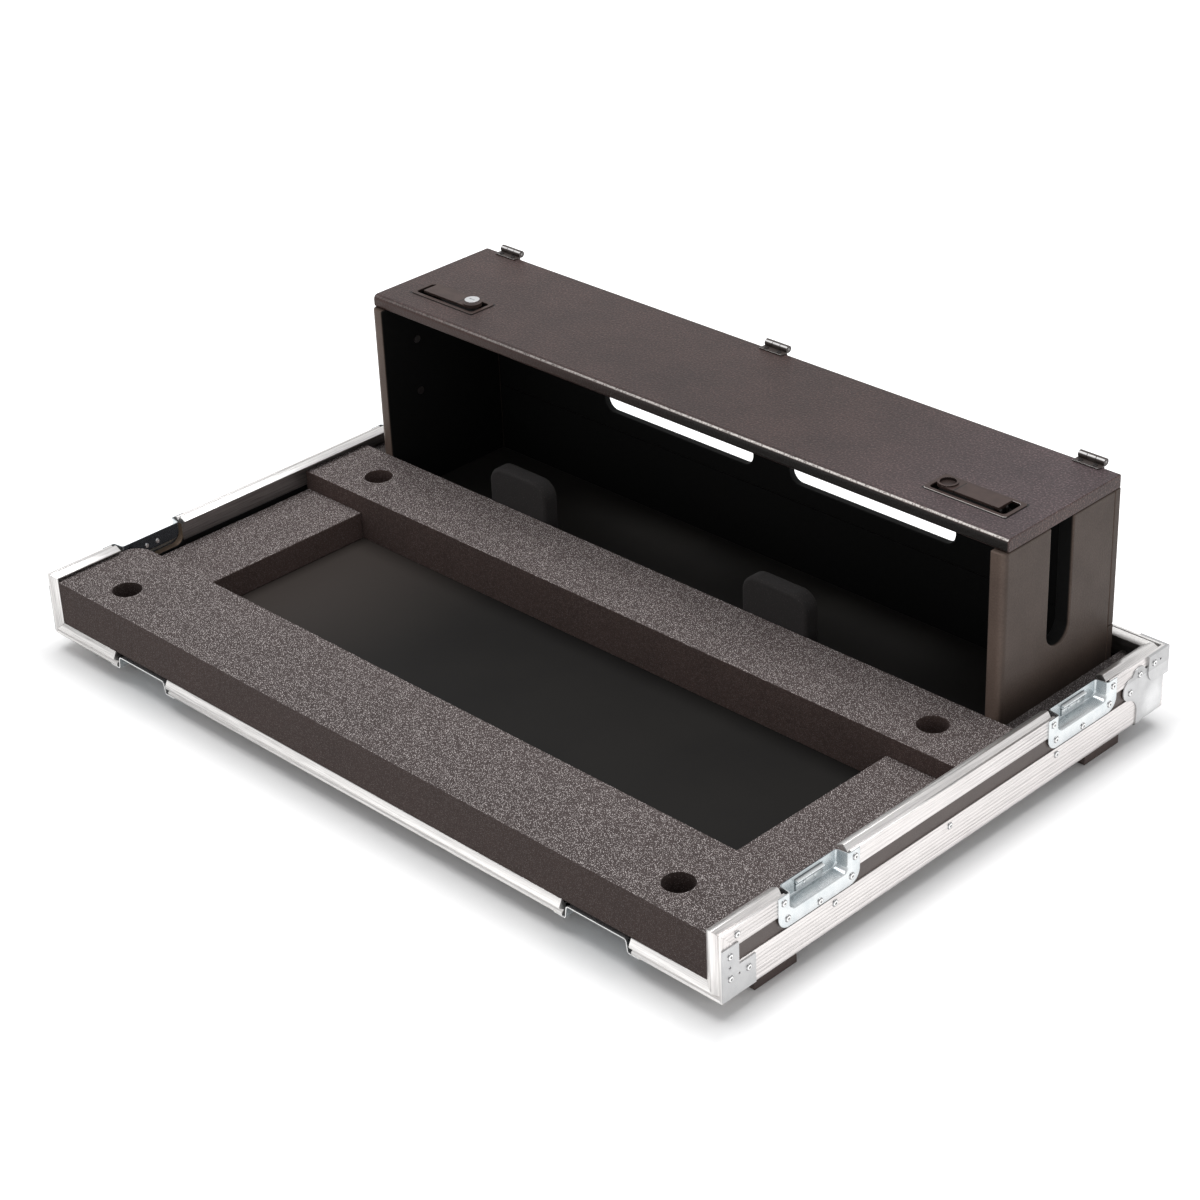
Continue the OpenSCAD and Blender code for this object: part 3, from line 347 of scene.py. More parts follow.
boards = {
    # colours
    "laminate": (0.110, 0.082, 0.073), "laminateDark": (0.076, 0.057, 0.051),
    "pale": (0.46, 0.34, 0.24), "glueLine": (0.16, 0.11, 0.08),
    "floor": (0.017, 0.0155, 0.014), "floorDark": (0.011, 0.010, 0.0095), "floorReflection": (0.044, 0.036, 0.032),
    # the near-black on the next line is dark paint deepened by painted shade, for inner faces, under the lid
    # and in the locks
    "boxPaint": (0.118, 0.086, 0.070), "boxDark": (0.080, 0.058, 0.048), "darkPaintAndShade": (0.003, 0.003, 0.0028),
    "lidPaint": (0.072, 0.044, 0.040), "lidDark": (0.046, 0.029, 0.027), "lidWearAndHighlight": (0.85, 0.80, 0.76),
    "lidFrontShade": (0.010, 0.008, 0.007), "lidFrontLeftShade": (0.052, 0.026, 0.021), "lidCoolSheen": (1.02, 1.16, 1.34),
    # one ply's thickness, in millimetres
    "ply": 1.5,
    # places and widths, in metres; a pair says where a change of tone begins and ends
    "innerWall": (0.4898, 0.4903), "boxFloor": (0.09, 0.11), "floorLeft": (-0.42, -0.12),
    "innerHalf": (0.438, 0.440), "slotY": 0.2072, "slotHalf": (0.0200, 0.0206), "slotRim": (0.4526, 0.456),
    "panelFoot": (0.045, 0.170), "lidMiddle": (0.05, 0.40), "lidRight": (0.10, 0.45),
    "lipFade": (-0.45, 0.20), "frontFade": (-0.35, 0.10), "seamWidth": (0.0006, 0.0016),
}


def laminateFace(where):
    speck = where.noise(900.0, 3.0, 0.6)
    cloud = where.noise(30.0, 3.0, 0.5)
    mix = (speck * 0.6 + cloud * 0.4).ramp(0.3, 0.7)
    return speck.bump(0.25, 0.0002), mix.between(boards["laminateDark"], boards["laminate"])


def wallLaminate(where, facing):
    # laminate on the faces, plies on the cut edges; the plies stack across X on the side walls
    relief, face = laminateFace(where)
    across = where.part(0).size()
    stack = across * (1000.0 / boards["ply"])
    line = stack.add("ShaderNodeMath", {"operation": "FRACT"}, {0: stack})
    grain = where.noise(250.0, 3.0, 0.6, (1.0, 0.08, 0.5))
    plies = line.ramp(0.35, 0.65).between(boards["pale"], boards["glueLine"]) * grain.between(0.6, 1.2)
    cut = 1.0 - facing.part(0).size().ramp(0.4, 0.7)
    # painted shade on the walls' inner faces
    face = across.ramp(*boards["innerWall"]).between(boards["darkPaintAndShade"], face)
    return {"Base Color": cut.between(face, plies), "Roughness": cut.between(0.42, 0.75), "Normal": relief}


def rearLaminate(where, facing):
    relief, face = laminateFace(where)
    # painted shade on the inner face
    outside = facing.part(1).ramp(-0.8, -0.5)
    return {"Base Color": outside.between(boards["darkPaintAndShade"], face), "Roughness": 0.42, "Normal": relief}


def floorLaminate(where, facing):
    # paler under the cable box, with a painted reflection towards the left of the mixer's pocket
    speck = where.noise(1400.0, 3.0, 0.6)
    cloud = where.noise(9.0, 3.0, 0.5)
    mix = (speck * 0.35 + cloud * 0.65).ramp(0.3, 0.7)
    rear = where.part(1).ramp(*boards["boxFloor"])
    left = (1.0 - where.part(0).ramp(*boards["floorLeft"])) * (1.0 - rear)
    shade = mix.between(boards["floorDark"], boards["floor"]) * rear.between(0.70, 1.60)
    shade = left.between(shade, boards["floorReflection"])
    return {"Base Color": shade, "Specular IOR Level": 0.16,
            "Roughness": cloud.between(0.62, 0.70), "Normal": speck.bump(0.12, 0.0001)}


def boxPaint(where, facing):
    # brown outside and on the edges, with painted light on the faces that look to the front, and dark paint
    # with painted shade inside the box and in the cable slot; the outer sides are darker towards their foot
    orange = where.noise(520.0, 2.0, 0.5)
    cloud = where.noise(22.0, 4.0, 0.6)
    mix = (cloud * 0.5 + orange * 0.5).ramp(0.22, 0.78)
    across = where.part(0).size()
    outside = across.ramp(*boards["innerHalf"])
    slot = 1.0 - (where.part(1) - boards["slotY"]).size().ramp(*boards["slotHalf"])
    outside = outside * (1.0 - slot * (1.0 - across.ramp(*boards["slotRim"])))
    outside = outside.larger(facing.part(1).ramp(0.3, 0.7))
    # painted light on the faces that look to the front; the outer sides darker towards their foot
    front = (0.0 - facing.part(1)).ramp(0.3, 0.9)
    foot = facing.part(0).size().ramp(0.6, 0.9) * (1.0 - where.part(2).ramp(*boards["panelFoot"]))
    paint = mix.between(boards["boxDark"], boards["boxPaint"])
    paint = paint * front.between(0.80, 1.36) * foot.between(1.0, 0.50)
    return {"Base Color": outside.between(boards["darkPaintAndShade"], paint), "Specular IOR Level": 0.15,
            "Roughness": outside.between(0.75, mix.between(0.50, 0.38)), "Normal": orange.bump(0.30, 0.0005)}


rightLock = nodes["right_lock_frame"]
rightCorners = [rightLock.matrix_world @ Vector(corner) for corner in rightLock.bound_box]
(nearX, nearY), (farX, farY) = [[pick(corner[i] for corner in rightCorners) for i in (0, 1)]
                                for pick in (min, max)]
lockFrame = {"x": (nearX + farX) / 2, "y": (nearY + farY) / 2,
             "halfX": (farX - nearX) / 2, "halfY": (farY - nearY) / 2}


def lidPaint(where, facing):
    orange = where.noise(480.0, 2.0, 0.55)
    cloud = where.noise(16.0, 4.0, 0.6)
    mix = (cloud * 0.55 + orange * 0.45).ramp(0.32, 0.68)
    pepper = where.noise(430.0, 1.0, 0.6).ramp(0.50, 0.64)
    across = where.part(0)
    toRight = across.ramp(*boards["lidRight"])
    tone = across.size().ramp(*boards["lidMiddle"]).between(0.86, 1.02) * toRight.between(1.0, 1.20)
    paint = mix.between(boards["lidDark"], boards["lidPaint"]) * tone * pepper.between(0.80, 1.62)
    # a painted cool sheen on the top towards the right
    cool = toRight * facing.part(2).ramp(0.8, 0.95)
    paint = cool.between(paint, paint * boards["lidCoolSheen"])
    # painted shade on the front face, less of it towards the left
    front = (0.0 - facing.part(1)).ramp(0.80, 0.97)
    frontPaint = across.ramp(*boards["frontFade"]).between(boards["lidFrontLeftShade"], boards["lidFrontShade"])
    paint = front.between(paint, frontPaint)
    lip = (0.0 - facing.part(1)) * facing.part(2) * 2.0       # wear with a painted highlight along the rounded front edge
    along = where.noise(420.0, 2.0, 0.7).ramp(0.25, 0.60)
    rubbedAndHighlit = lip.ramp(0.86, 0.998) * along * across.ramp(*boards["lipFade"]).between(0.10, 1.0)
    seamX = (across.size() - lockFrame["x"]).size() - lockFrame["halfX"]   # shadow line round each lock
    seamY = (where.part(1) - lockFrame["y"]).size() - lockFrame["halfY"]
    seam = (1.0 - seamX.larger(seamY).ramp(*boards["seamWidth"])) * facing.part(2).ramp(0.5, 0.8)
    paint = seam.between(paint, boards["darkPaintAndShade"])
    # painted shade on the underside
    under = (0.0 - facing.part(2)).ramp(0.5, 0.8)
    shade = under.between(rubbedAndHighlit.between(paint, boards["lidWearAndHighlight"]), boards["darkPaintAndShade"])
    return {"Base Color": shade, "Specular IOR Level": 0.25,
            "Roughness": rubbedAndHighlit.between(0.44, 0.28), "Normal": orange.bump(0.6, 0.0010)}


foamLook = {
    # colours
    "top": (0.060, 0.045, 0.043), "speck": (0.80, 0.74, 0.72), "side": (0.045, 0.028, 0.024),
    "pad": (0.016, 0.0135, 0.014), "padDark": (0.014, 0.012, 0.011), "padSpeck": (0.12, 0.10, 0.095),
    "feet": (0.105, 0.072, 0.066), "feetDark": (0.045, 0.034, 0.030),
    # cells in a metre, and the share of light that is left on the strips beside the cable box
    "cells": 760.0, "gapShade": 0.45,
    # places in metres; a pair says where a change of tone begins and ends
    "frontBar": (-0.33, -0.10), "gapSide": (0.4555, 0.4565), "gapFrom": (0.1155, 0.1165),
}


def foamSkin(where, facing):
    # open cells on the top, which catch light as fine pale specks, and smoother sides
    cell = where.cells(foamLook["cells"])
    patch = where.noise(330.0, 2.0, 0.6)
    cloud = where.noise(18.0, 4.0, 0.6)
    up = facing.part(2).ramp(0.3, 0.9)
    # painted shade: darker along the front bar, lighter further back, most on the upright sides
    further = where.part(1).ramp(*foamLook["frontBar"])
    base = up.between(foamLook["side"], foamLook["top"])
    base = base * cloud.between(0.78, 1.18) * patch.between(0.66, 1.34)
    base = base * up.between(further.between(0.92, 1.60), further.between(1.0, 1.20))
    specks = (1.0 - cell.ramp(0.18, 0.40)) * patch.ramp(0.26, 0.56) * up.between(0.13, 1.0)
    gap = where.part(0).size().ramp(*foamLook["gapSide"]) * where.part(1).ramp(*foamLook["gapFrom"])
    shade = specks.between(base, foamLook["speck"]) * gap.between(1.0, foamLook["gapShade"])
    return {"Base Color": shade, "Roughness": 0.92,
            "Normal": (cell * 0.5 + patch * 0.5).bump(0.55, 0.0008)}


def padFoam(where, facing):
    speckle = where.noise(700.0, 2.0, 0.7)
    cloud = where.noise(40.0, 3.0, 0.6)
    specks = speckle.ramp(0.56, 0.75) * 0.30
    foam = cloud.between(foamLook["padDark"], foamLook["pad"])
    return {"Base Color": specks.between(foam, foamLook["padSpeck"]), "Roughness": 0.9,
            "Normal": speckle.bump(0.5, 0.0006)}


def footRubber(where, facing):
    grain = where.noise(700.0, 3.0, 0.6)
    return {"Base Color": grain.between(foamLook["feetDark"], foamLook["feet"]), "Roughness": 0.75,
            "Normal": grain.bump(0.3, 0.0003)}


finishes = {
    "railX": alongRail(0), "railY": alongRail(1), "railZ": alongRail(2), "pressedZinc": pressedZinc,
    "satinSteel": satinSteel, "rivetHead": rivetHead, "catchSteel": catchSteel,
    "hingeSteel": hingeSteel, "blackMetal": blackMetal, "lockPaint": lockPaint, "dullSteel": dullSteel,
    "chromePlate": chromePlate, "wallLaminate": wallLaminate, "rearLaminate": rearLaminate,
    "floorLaminate": floorLaminate, "boxPaint": boxPaint, "lidPaint": lidPaint, "foamSkin": foamSkin,
    "padFoam": padFoam, "footRubber": footRubber,
}
made = {name: material(name, build) for name, build in finishes.items()}
print("finishes made:", len(made))


# Making pieces

finest = {
    # in metres: points closer than this are one, in a solid and in a shell of several sheets, and points
    # this near to a rivet's end lie on that end
    "weld": 0.000002, "shellWeld": 0.000005, "level": 0.00002,
    # in degrees: faces that turn by less than this are made one
    "flat": 0.6,
}


def settle(name, mesh, standsFor, finish, smooth=40.0):
    # links a finished mesh and ties it to the solids that it stands for
    for face in mesh.polygons:
        face.use_smooth = True
    mesh.set_sharp_from_angle(angle=math.radians(smooth))
    piece = bpy.data.objects.new(name, mesh)
    bpy.context.scene.collection.objects.link(piece)
    mesh.materials.clear()
    mesh.materials.append(made[finish])
    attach(piece, bodyOf[standsFor[0]])
    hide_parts(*standsFor)
    return piece


def asMesh(name, bm):
    mesh = bpy.data.meshes.new(name)
    bm.to_mesh(mesh)
    bm.free()
    return mesh


def outwardMesh(name, bm):
    bmesh.ops.recalc_face_normals(bm, faces=bm.faces)
    return asMesh(name, bm)


def reshaped(mesh, kind, **settings):
    # a mesh with one modifier worked into it
    helper = bpy.data.objects.new("helper", mesh)
    bpy.context.scene.collection.objects.link(helper)
    change = helper.modifiers.new("change", kind)
    for name, value in settings.items():
        setattr(change, name, value)
    bpy.context.view_layer.update()
    shape = bpy.data.meshes.new_from_object(helper.evaluated_get(bpy.context.evaluated_depsgraph_get()))
    bpy.data.objects.remove(helper)
    return shape


def softened(node, finish, width, segments=2, angle=30.0, smooth=38.0):
    # a copy of a solid's surface with its edges eased, as planed, cast or pressed edges are
    bm = bmesh.new()
    bm.from_mesh(nodes[node].data)
    bmesh.ops.remove_doubles(bm, verts=bm.verts, dist=finest["weld"])
    bmesh.ops.dissolve_limit(bm, angle_limit=math.radians(finest["flat"]), verts=bm.verts, edges=bm.edges)
    shape = reshaped(asMesh(node + ".soft", bm), "BEVEL", width=width / 1000, segments=segments,
                     limit_method="ANGLE", angle_limit=math.radians(angle), use_clamp_overlap=True,
                     miter_outer="MITER_ARC")
    shape.name = node + "Shape"
    piece = settle(node + "Piece", shape, [node], finish, smooth)
    if not finish.startswith("rail"):
        even = piece.modifiers.new("even", "WEIGHTED_NORMAL")  # keeps large faces flat beside eased edges
        even.keep_sharp = True
        even.weight = 100
    return piece


def inset(outline, amount):
    # moves each point of a closed outline inwards, square to its neighbours
    moved = []
    turn = sum(a[0] * b[1] - b[0] * a[1] for a, b in zip(outline, outline[1:] + outline[:1]))
    side = 1 if turn > 0 else -1
    for i, (x, y) in enumerate(outline):
        ax, ay = outline[i - 1]
        bx, by = outline[(i + 1) % len(outline)]
        tangent = Vector((bx - ax, by - ay)).normalized()
        moved.append((x - tangent.y * side * amount, y + tangent.x * side * amount))
    return moved


def plate(bm, outline, low, high, ease, where):
    # a flat plate with an eased upper rim; where(a, b, r) gives a point of the object
    rings = [(outline, low), (outline, high - ease), (inset(outline, ease * 0.3), high - ease * 0.3),
             (inset(outline, ease), high)]
    loops = [[bm.verts.new(where(a, b, r)) for a, b in ring] for ring, r in rings]
    for lower, upper in zip(loops, loops[1:]):
        for i in range(len(lower)):
            j = (i + 1) % len(lower)
            bm.faces.new((lower[i], lower[j], upper[j], upper[i]))
    bm.faces.new(loops[-1])
    bm.faces.new(loops[0][::-1])


def arc(cx, cy, r, start, end, steps):
    return [(cx + r * math.cos(math.radians(start + (end - start) * i / steps)),
             cy + r * math.sin(math.radians(start + (end - start) * i / steps))) for i in range(steps + 1)]


# Catch dishes, pressed from sheet

dish = {
    "width": 112, "height": 36, "corner": 14, "sheet": 1.2, "recessWidth": 80, "recessHeight": 19.5,
    "recessCorner": 7, "floorWidth": 76, "floorHeight": 18, "floorCorner": 6, "floor": -12.8, "steps": 10,
    "fillet": 2.6, "plateWidth": 37, "plateLow": -16, "plateHigh": -4.6, "plateCorner": 2.5, "plateRise": 1.6,
    "plateEase": 0.5, "lipRise": 3.6, "lipWidth": 3.0,
    "spot": 2.3, "spotSide": 7.5, "spotLow": -11, "spotRise": 0.9, "spotEase": 0.7,
    # rings of the flange's rounded rim: how far each draws in across, down and at its corners, and its height
    "rim": ((0, 0, 0, 0), (0, 0, 0, 0.8), (0.5, 0.3, 0.3, 1.1), (1.2, 0.7, 0.6, 1.2)),
}


def sideDish(s, y):
    return lambda p, q, r: place(s * (tray["halfWidth"] + r), y + p, tray["wall"] + q)


def bottomDish(x):
    return lambda p, q, r: place(x + p, -q, -r)


def uShape(width, height, corner, steps):
    # from the open edge down, round two corners and up again
    half = width / 2
    points = [(-half, -(height - corner) * k / 4) for k in range(4)]
    points += arc(-half + corner, -height + corner, corner, 180, 270, steps)
    points += [(-half + corner + (width - 2 * corner) * k / 8, -height) for k in range(1, 8)]
    points += arc(half - corner, -height + corner, corner, 270, 360, steps)
    points += [(half, -(height - corner) * (3 - k) / 4) for k in range(4)]
    return points


def flankSteps(fillet, steps=4):
    # shares across and down a straight flank with a round shoulder and a round foot
    drop = dish["sheet"] - dish["floor"]
    slope = math.atan2(drop, (dish["recessWidth"] - dish["floorWidth"]) / 2)
    first = []
    for i in range(steps + 1):
        a = slope * i / steps
        first.append((fillet * (math.sin(a) - math.tan(slope / 2)) * math.tan(slope) / drop,
                      fillet * (1 - math.cos(a)) / drop))
    return first + [(1 - across, 1 - down) for across, down in reversed(first)]


def dishSurface(bm, where):
    d = dish
    rings = [(d["width"] - w, d["height"] - h, d["corner"] - c, r) for w, h, c, r in d["rim"]]
    for across, down in flankSteps(d["fillet"]):
        rings.append((d["recessWidth"] + (d["floorWidth"] - d["recessWidth"]) * across,
                      d["recessHeight"] + (d["floorHeight"] - d["recessHeight"]) * across,
                      d["recessCorner"] + (d["floorCorner"] - d["recessCorner"]) * across,
                      d["sheet"] + (d["floor"] - d["sheet"]) * down))
    loops = [[bm.verts.new(where(p, q, r)) for p, q in uShape(w, h, c, d["steps"])] for w, h, c, r in rings]
    for outer, inner in zip(loops, loops[1:]):
        for i in range(len(outer) - 1):
            bm.faces.new((outer[i], outer[i + 1], inner[i + 1], inner[i]))
    bm.faces.new(loops[-1])


def makeDish(node, where):
    bm = bmesh.new()
    dishSurface(bm, where)
    bmesh.ops.recalc_face_normals(bm, faces=bm.faces)
    outward = where(0, 0, 1) - where(0, 0, 0)
    if sum(f.normal.dot(outward) * f.calc_area() for f in bm.faces) < 0:
        bmesh.ops.reverse_faces(bm, faces=bm.faces)
    shape = reshaped(asMesh(node, bm), "SOLIDIFY", thickness=dish["sheet"] / 1000, offset=-1)
    settle(node + "Piece", shape, [node], "pressedZinc", smooth=50.0)


dishPlaces = {
    "left_front_dish": sideDish(-1, 131), "left_rear_dish": sideDish(-1, 528),
    "right_front_dish": sideDish(1, 131), "right_rear_dish": sideDish(1, 528),
    "left_bottom_dish": bottomDish(-343), "right_bottom_dish": bottomDish(343),
}
for node, where in dishPlaces.items():
    makeDish(node, where)


def strip(bm, section, half, where):
    # a bent strip of sheet: section holds (q, r) points round its edge, half is its half length
    ends = [[bm.verts.new(where(p, q, r)) for q, r in section] for p in (-half, half)]
    for i in range(len(section)):
        j = (i + 1) % len(section)
        bm.faces.new((ends[0][i], ends[0][j], ends[1][j], ends[1][i]))
    bm.faces.new(ends[0][::-1])
    bm.faces.new(ends[1])


def catchPlate(bm, where):
    # a round-cornered plate with two rivets; its upper edge is folded out into a lip
    half, low, high, floor = dish["plateWidth"] / 2, dish["plateLow"], dish["plateHigh"], dish["floor"]
    rise, lip, turn, corner = dish["plateRise"], dish["lipRise"], high - dish["lipWidth"], dish["plateCorner"]
    outline = (arc(half - corner, low + corner, corner, 270, 360, 5) + [(half, turn), (-half, turn)]
               + arc(-half + corner, low + corner, corner, 180, 270, 5))
    plate(bm, outline, floor, floor + rise, dish["plateEase"], where)
    bend = [(turn, floor), (turn, floor + rise), (turn + rise * 0.6, floor + rise + 0.4),
            (turn + rise * 0.8, floor + lip), (high, floor + lip), (high, floor)]
    strip(bm, bend, half, where)
    for k in (-1, 1):
        spot = arc(k * dish["spotSide"], dish["spotLow"], dish["spot"], 0, 345, 23)
        plate(bm, spot, floor + rise - 0.1, floor + rise + dish["spotRise"], dish["spotEase"], where)


catch = bmesh.new()
for where in dishPlaces.values():
    catchPlate(catch, where)
settle("catchPlates", outwardMesh("catchPlates", catch), ["catch_plates"], "catchSteel")
print("dishes made")


# Ball corners: a soft shell over the corner, with two lobes on each upright leaf

ball = {
    "sheet": 1.5, "edge": 5.0, "vertexEdge": 12.0, "roundReach": 50.0, "waist": 47.2, "top": 62.0,
    "centre": 17.0, "rise": 1.6, "reach": 17.0, "step": 1.6,
    "notch": (66, 17, 18.78), "lobes": ((59, 48, 13), (46, 57, 12)),
    "lobeInner": 30, "lobeEase": 0.5, "sunk": 0.06,
}


def cornerWhere(s):
    # distances from the outer faces of the side, the rear and the underside
    def where(u, v, w):
        t = ball["sheet"]
        return place(s * (tray["halfWidth"] + t - u), tray["depth"] + t - v, w - t)
    return where


def cornerPoint(u, v, w):
    # rounds the edges of the corner, more and more towards the vertex, and swells it softly there
    near = min(max(1 - Vector((u, v, w)).length / ball["roundReach"], 0), 1)
    e = ball["edge"] + (ball["vertexEdge"] - ball["edge"]) * near * near * (3 - 2 * near)
    inner = Vector((max(u, e), max(v, e), max(w, e)))
    out = Vector((u, v, w)) - inner
    if out.length < 1e-6:
        return Vector((u, v, w))
    point = inner + out.normalized() * e
    c = ball["centre"]
    span = math.sqrt(c * c + ball["reach"] ** 2) - c
    t = min(max(1 - ((point - Vector((c, c, c))).length - c) / span, 0), 1)
    return point + out.normalized() * ball["rise"] * t * t * (3 - 2 * t)


def spread(length):
    count = max(int(round(length / ball["step"])), 1)
    return [length * i / count for i in range(count + 1)]


def cornerShell(bm, where):
    t = ball["sheet"]
    across, up = spread(ball["waist"] + t), spread(ball["top"] + t)
    layouts = [(lambda i, j: (0, i, j), across, up, (1, 0, 0)),
               (lambda i, j: (i, 0, j), across, up, (0, 1, 0)),
               (lambda i, j: (i, j, 0), across, across, (0, 0, 1))]
    for layout, first, second, inwards in layouts:
        grid = [[bm.verts.new(where(*cornerPoint(*layout(i, j)))) for j in second] for i in first]
        for i in range(len(first) - 1):
            for j in range(len(second) - 1):
                bm.faces.new((grid[i][j], grid[i + 1][j], grid[i + 1][j + 1], grid[i][j + 1]))
        sink = Vector(inwards) * t
        rims = [[(first[-1], j) for j in second], [(i, second[-1]) for i in first]]
        tops = [grid[-1], [row[-1] for row in grid]]
        for rim, top in zip(rims, tops):
            foot = [bm.verts.new(where(*(cornerPoint(*layout(i, j)) + sink))) for i, j in rim]
            for k in range(len(foot) - 1):
                bm.faces.new((top[k], top[k + 1], foot[k + 1], foot[k]))


def lobeOutline():
    (ax, ay, ar), (bx, by, br) = ball["lobes"]
    nx, ny, nr = ball["notch"]
    gap = Vector((bx - ax, by - ay))
    along = (ar * ar - br * br + gap.length_squared) / (2 * gap.length)
    tall = math.sqrt(ar * ar - along * along)
    way = gap.normalized()
    meet = Vector((ax, ay)) + way * along + Vector((-way.y, way.x)) * -tall
    toLobe = math.degrees(math.atan2(ay - ny, ax - nx))
    points = arc(nx, ny, nr, 180, toLobe, 12)
    points += arc(ax, ay, ar, toLobe - 180, math.degrees(math.atan2(meet.y - ay, meet.x - ax)), 20)[1:]
    endAngle = 180 - math.degrees(math.asin((ball["top"] - by) / br))
    points += arc(bx, by, br, math.degrees(math.atan2(meet.y - by, meet.x - bx)), endAngle, 18)[1:]
    return points + [(ball["lobeInner"], ball["top"]), (ball["lobeInner"], ny)]


def makeBallCorner(side, s):
    shell = bmesh.new()
    where = cornerWhere(s)
    cornerShell(shell, where)
    t, ease = ball["sheet"], ball["lobeEase"]
    plate(shell, lobeOutline(), 0.0, t - ball["sunk"], ease, lambda a, b, r: where(t - r, a + t, b + t))
    plate(shell, lobeOutline(), 0.0, t - ball["sunk"], ease, lambda a, b, r: where(a + t, t - r, b + t))
    bmesh.ops.remove_doubles(shell, verts=shell.verts, dist=finest["shellWeld"])
    name = side + "BallCorner"
    settle(name, outwardMesh(name, shell), [side + "_ball_corner"], "satinSteel", smooth=35.0)


makeBallCorner("left", -1)
makeBallCorner("right", 1)
print("ball corners made")


# Boards, sections, hardware and the cable box keep their solids' shape, with eased edges

easing = {
    # node: (finish, width in millimetres, segments)
    "base_board": ("floorLaminate", 0.4, 2), "left_wall_board": ("wallLaminate", 0.4, 2),
    "right_wall_board": ("wallLaminate", 0.4, 2), "rear_wall_board": ("rearLaminate", 0.4, 2),
    "corner_caps": ("satinSteel", 0.6, 3), "corner_braces": ("satinSteel", 0.5, 2),
    "feet": ("footRubber", 1.0, 3),
    "left_side_panel": ("boxPaint", 2.0, 3), "right_side_panel": ("boxPaint", 2.0, 3),
    "rear_strip": ("boxPaint", 0.8, 2), "rear_flap": ("boxPaint", 1.2, 3),
    "panel_bumpers": ("blackMetal", 0.4, 2), "lid_board": ("lidPaint", 1.8, 4),
    "strip_hinge_leaves": ("hingeSteel", 0.25, 2), "fold_hinge_leaves": ("hingeSteel", 0.25, 2),
    "flap_hinge_leaves": ("hingeSteel", 0.25, 2), "lid_hinge_leaves": ("hingeSteel", 0.25, 2),
    "strip_hinge_screws": ("blackMetal", 0.12, 2), "flap_hinge_screws": ("blackMetal", 0.12, 2),
    "lid_hinge_screws": ("blackMetal", 0.12, 2), "hinge_pins": ("dullSteel", 0.3, 2),
    "left_lock_frame": ("lockPaint", 0.5, 2), "right_lock_frame": ("lockPaint", 0.5, 2),
    "left_lock_lever": ("lockPaint", 0.6, 2), "right_lock_lever": ("lockPaint", 0.6, 2),
    "left_lock_spindle": ("blackMetal", 0.3, 2), "right_lock_spindle": ("blackMetal", 0.3, 2),
    "left_lock_cam": ("dullSteel", 0.4, 2), "right_lock_cam": ("dullSteel", 0.4, 2),
    "key_cylinder": ("chromePlate", 0.6, 3),
}
for node, (finish, width, segments) in easing.items():
    softened(node, finish, width, segments)


# Rivets: domed heads with a hollow, one on each place that the solids give

rivet = {
    # shares of the head's radius and height, from the rim up and into the hollow
    "head": ((1.0, 0.0), (1.0, 0.22), (0.94, 0.46), (0.80, 0.72), (0.62, 0.90), (0.44, 1.0), (0.36, 0.96),
             (0.31, 0.78), (0.29, 0.30), (0.0, 0.22)),
    "tail": ((1.0, 0.0), (0.98, 0.35), (0.88, 0.72), (0.66, 0.94), (0.40, 1.0), (0.0, 1.0)),
    "sides": 28, "tailRadius": 0.0034,
}


def turned(bm, middle, axis, radius, height, profile):
    # a round piece turned about an axis, from shares of its radius and height
    side = axis.orthogonal().normalized()
    other = axis.cross(side)
    loops = []
    for r, h in profile:
        angles = [2 * math.pi * i / rivet["sides"] for i in range(rivet["sides"])] if r else [0]
        rim = [(side * math.cos(a) + other * math.sin(a)) * r * radius for a in angles]
        loops.append([bm.verts.new(middle + axis * h * height + spoke) for spoke in rim])
    for lower, upper in zip(loops, loops[1:]):
        for i in range(len(lower)):
            j = (i + 1) % len(lower)
            bm.faces.new([lower[i], lower[j]] + ([upper[j], upper[i]] if len(upper) > 1 else [upper[0]]))


def islands(mesh):
    # the separate heads of a mesh, as lists of points
    bm = bmesh.new()
    bm.from_mesh(mesh)
    bmesh.ops.remove_doubles(bm, verts=bm.verts, dist=finest["weld"])
    found, seen = [], set()
    for start in bm.verts:
        if start in seen:
            continue
        group, todo = [], [start]
        seen.add(start)
        while todo:
            vert = todo.pop()
            group.append(vert.co.copy())
            for edge in vert.link_edges:
                other = edge.other_vert(vert)
                if other not in seen:
                    seen.add(other)
                    todo.append(other)
        found.append(group)
    bm.free()
    return found


def addHead(bm, group):
    # the narrow end of a tapered solid is the outer one
    low = Vector(min(p[i] for p in group) for i in range(3))
    high = Vector(max(p[i] for p in group) for i in range(3))
    spans = high - low
    across = min(range(3), key=lambda i: spans[i])
    middle = (low + high) / 2
    ends = {}
    for end, value in (("low", low[across]), ("high", high[across])):
        ring = [p for p in group if abs(p[across] - value) < finest["level"]]
        ends[end] = max(math.dist([c for i, c in enumerate(p) if i != across],
                                  [c for i, c in enumerate(middle) if i != across]) for p in ring)
    outward = Vector([0.0, 0.0, 0.0])
    outward[across] = 1.0 if ends["low"] > ends["high"] else -1.0
    foot = middle.copy()
    foot[across] = low[across] if outward[across] > 0 else high[across]
    radius = max(ends.values())
    profile = rivet["tail"] if radius < rivet["tailRadius"] else rivet["head"]
    turned(bm, foot, outward, radius, spans[across], profile)


heads = bmesh.new()
for group in islands(nodes["case_rivets"].data):
    addHead(heads, group)
settle("rivets", outwardMesh("rivets", heads), ["case_rivets"], "rivetHead", smooth=60.0)
print("rivets made")

sections = {
    "railY": ["left_top_rail", "right_top_rail", "left_bottom_angle", "right_bottom_angle"],
    "railX": ["rear_top_rail", "rear_bottom_angle", "front_bottom_rail"],
    "railZ": ["left_front_post", "right_front_post", "rear_corner_angles"],
}
for finish, names in sections.items():
    for node in names:
        softened(node, finish, width=0.25, angle=50.0)
print("boards and hardware made")


# Foam

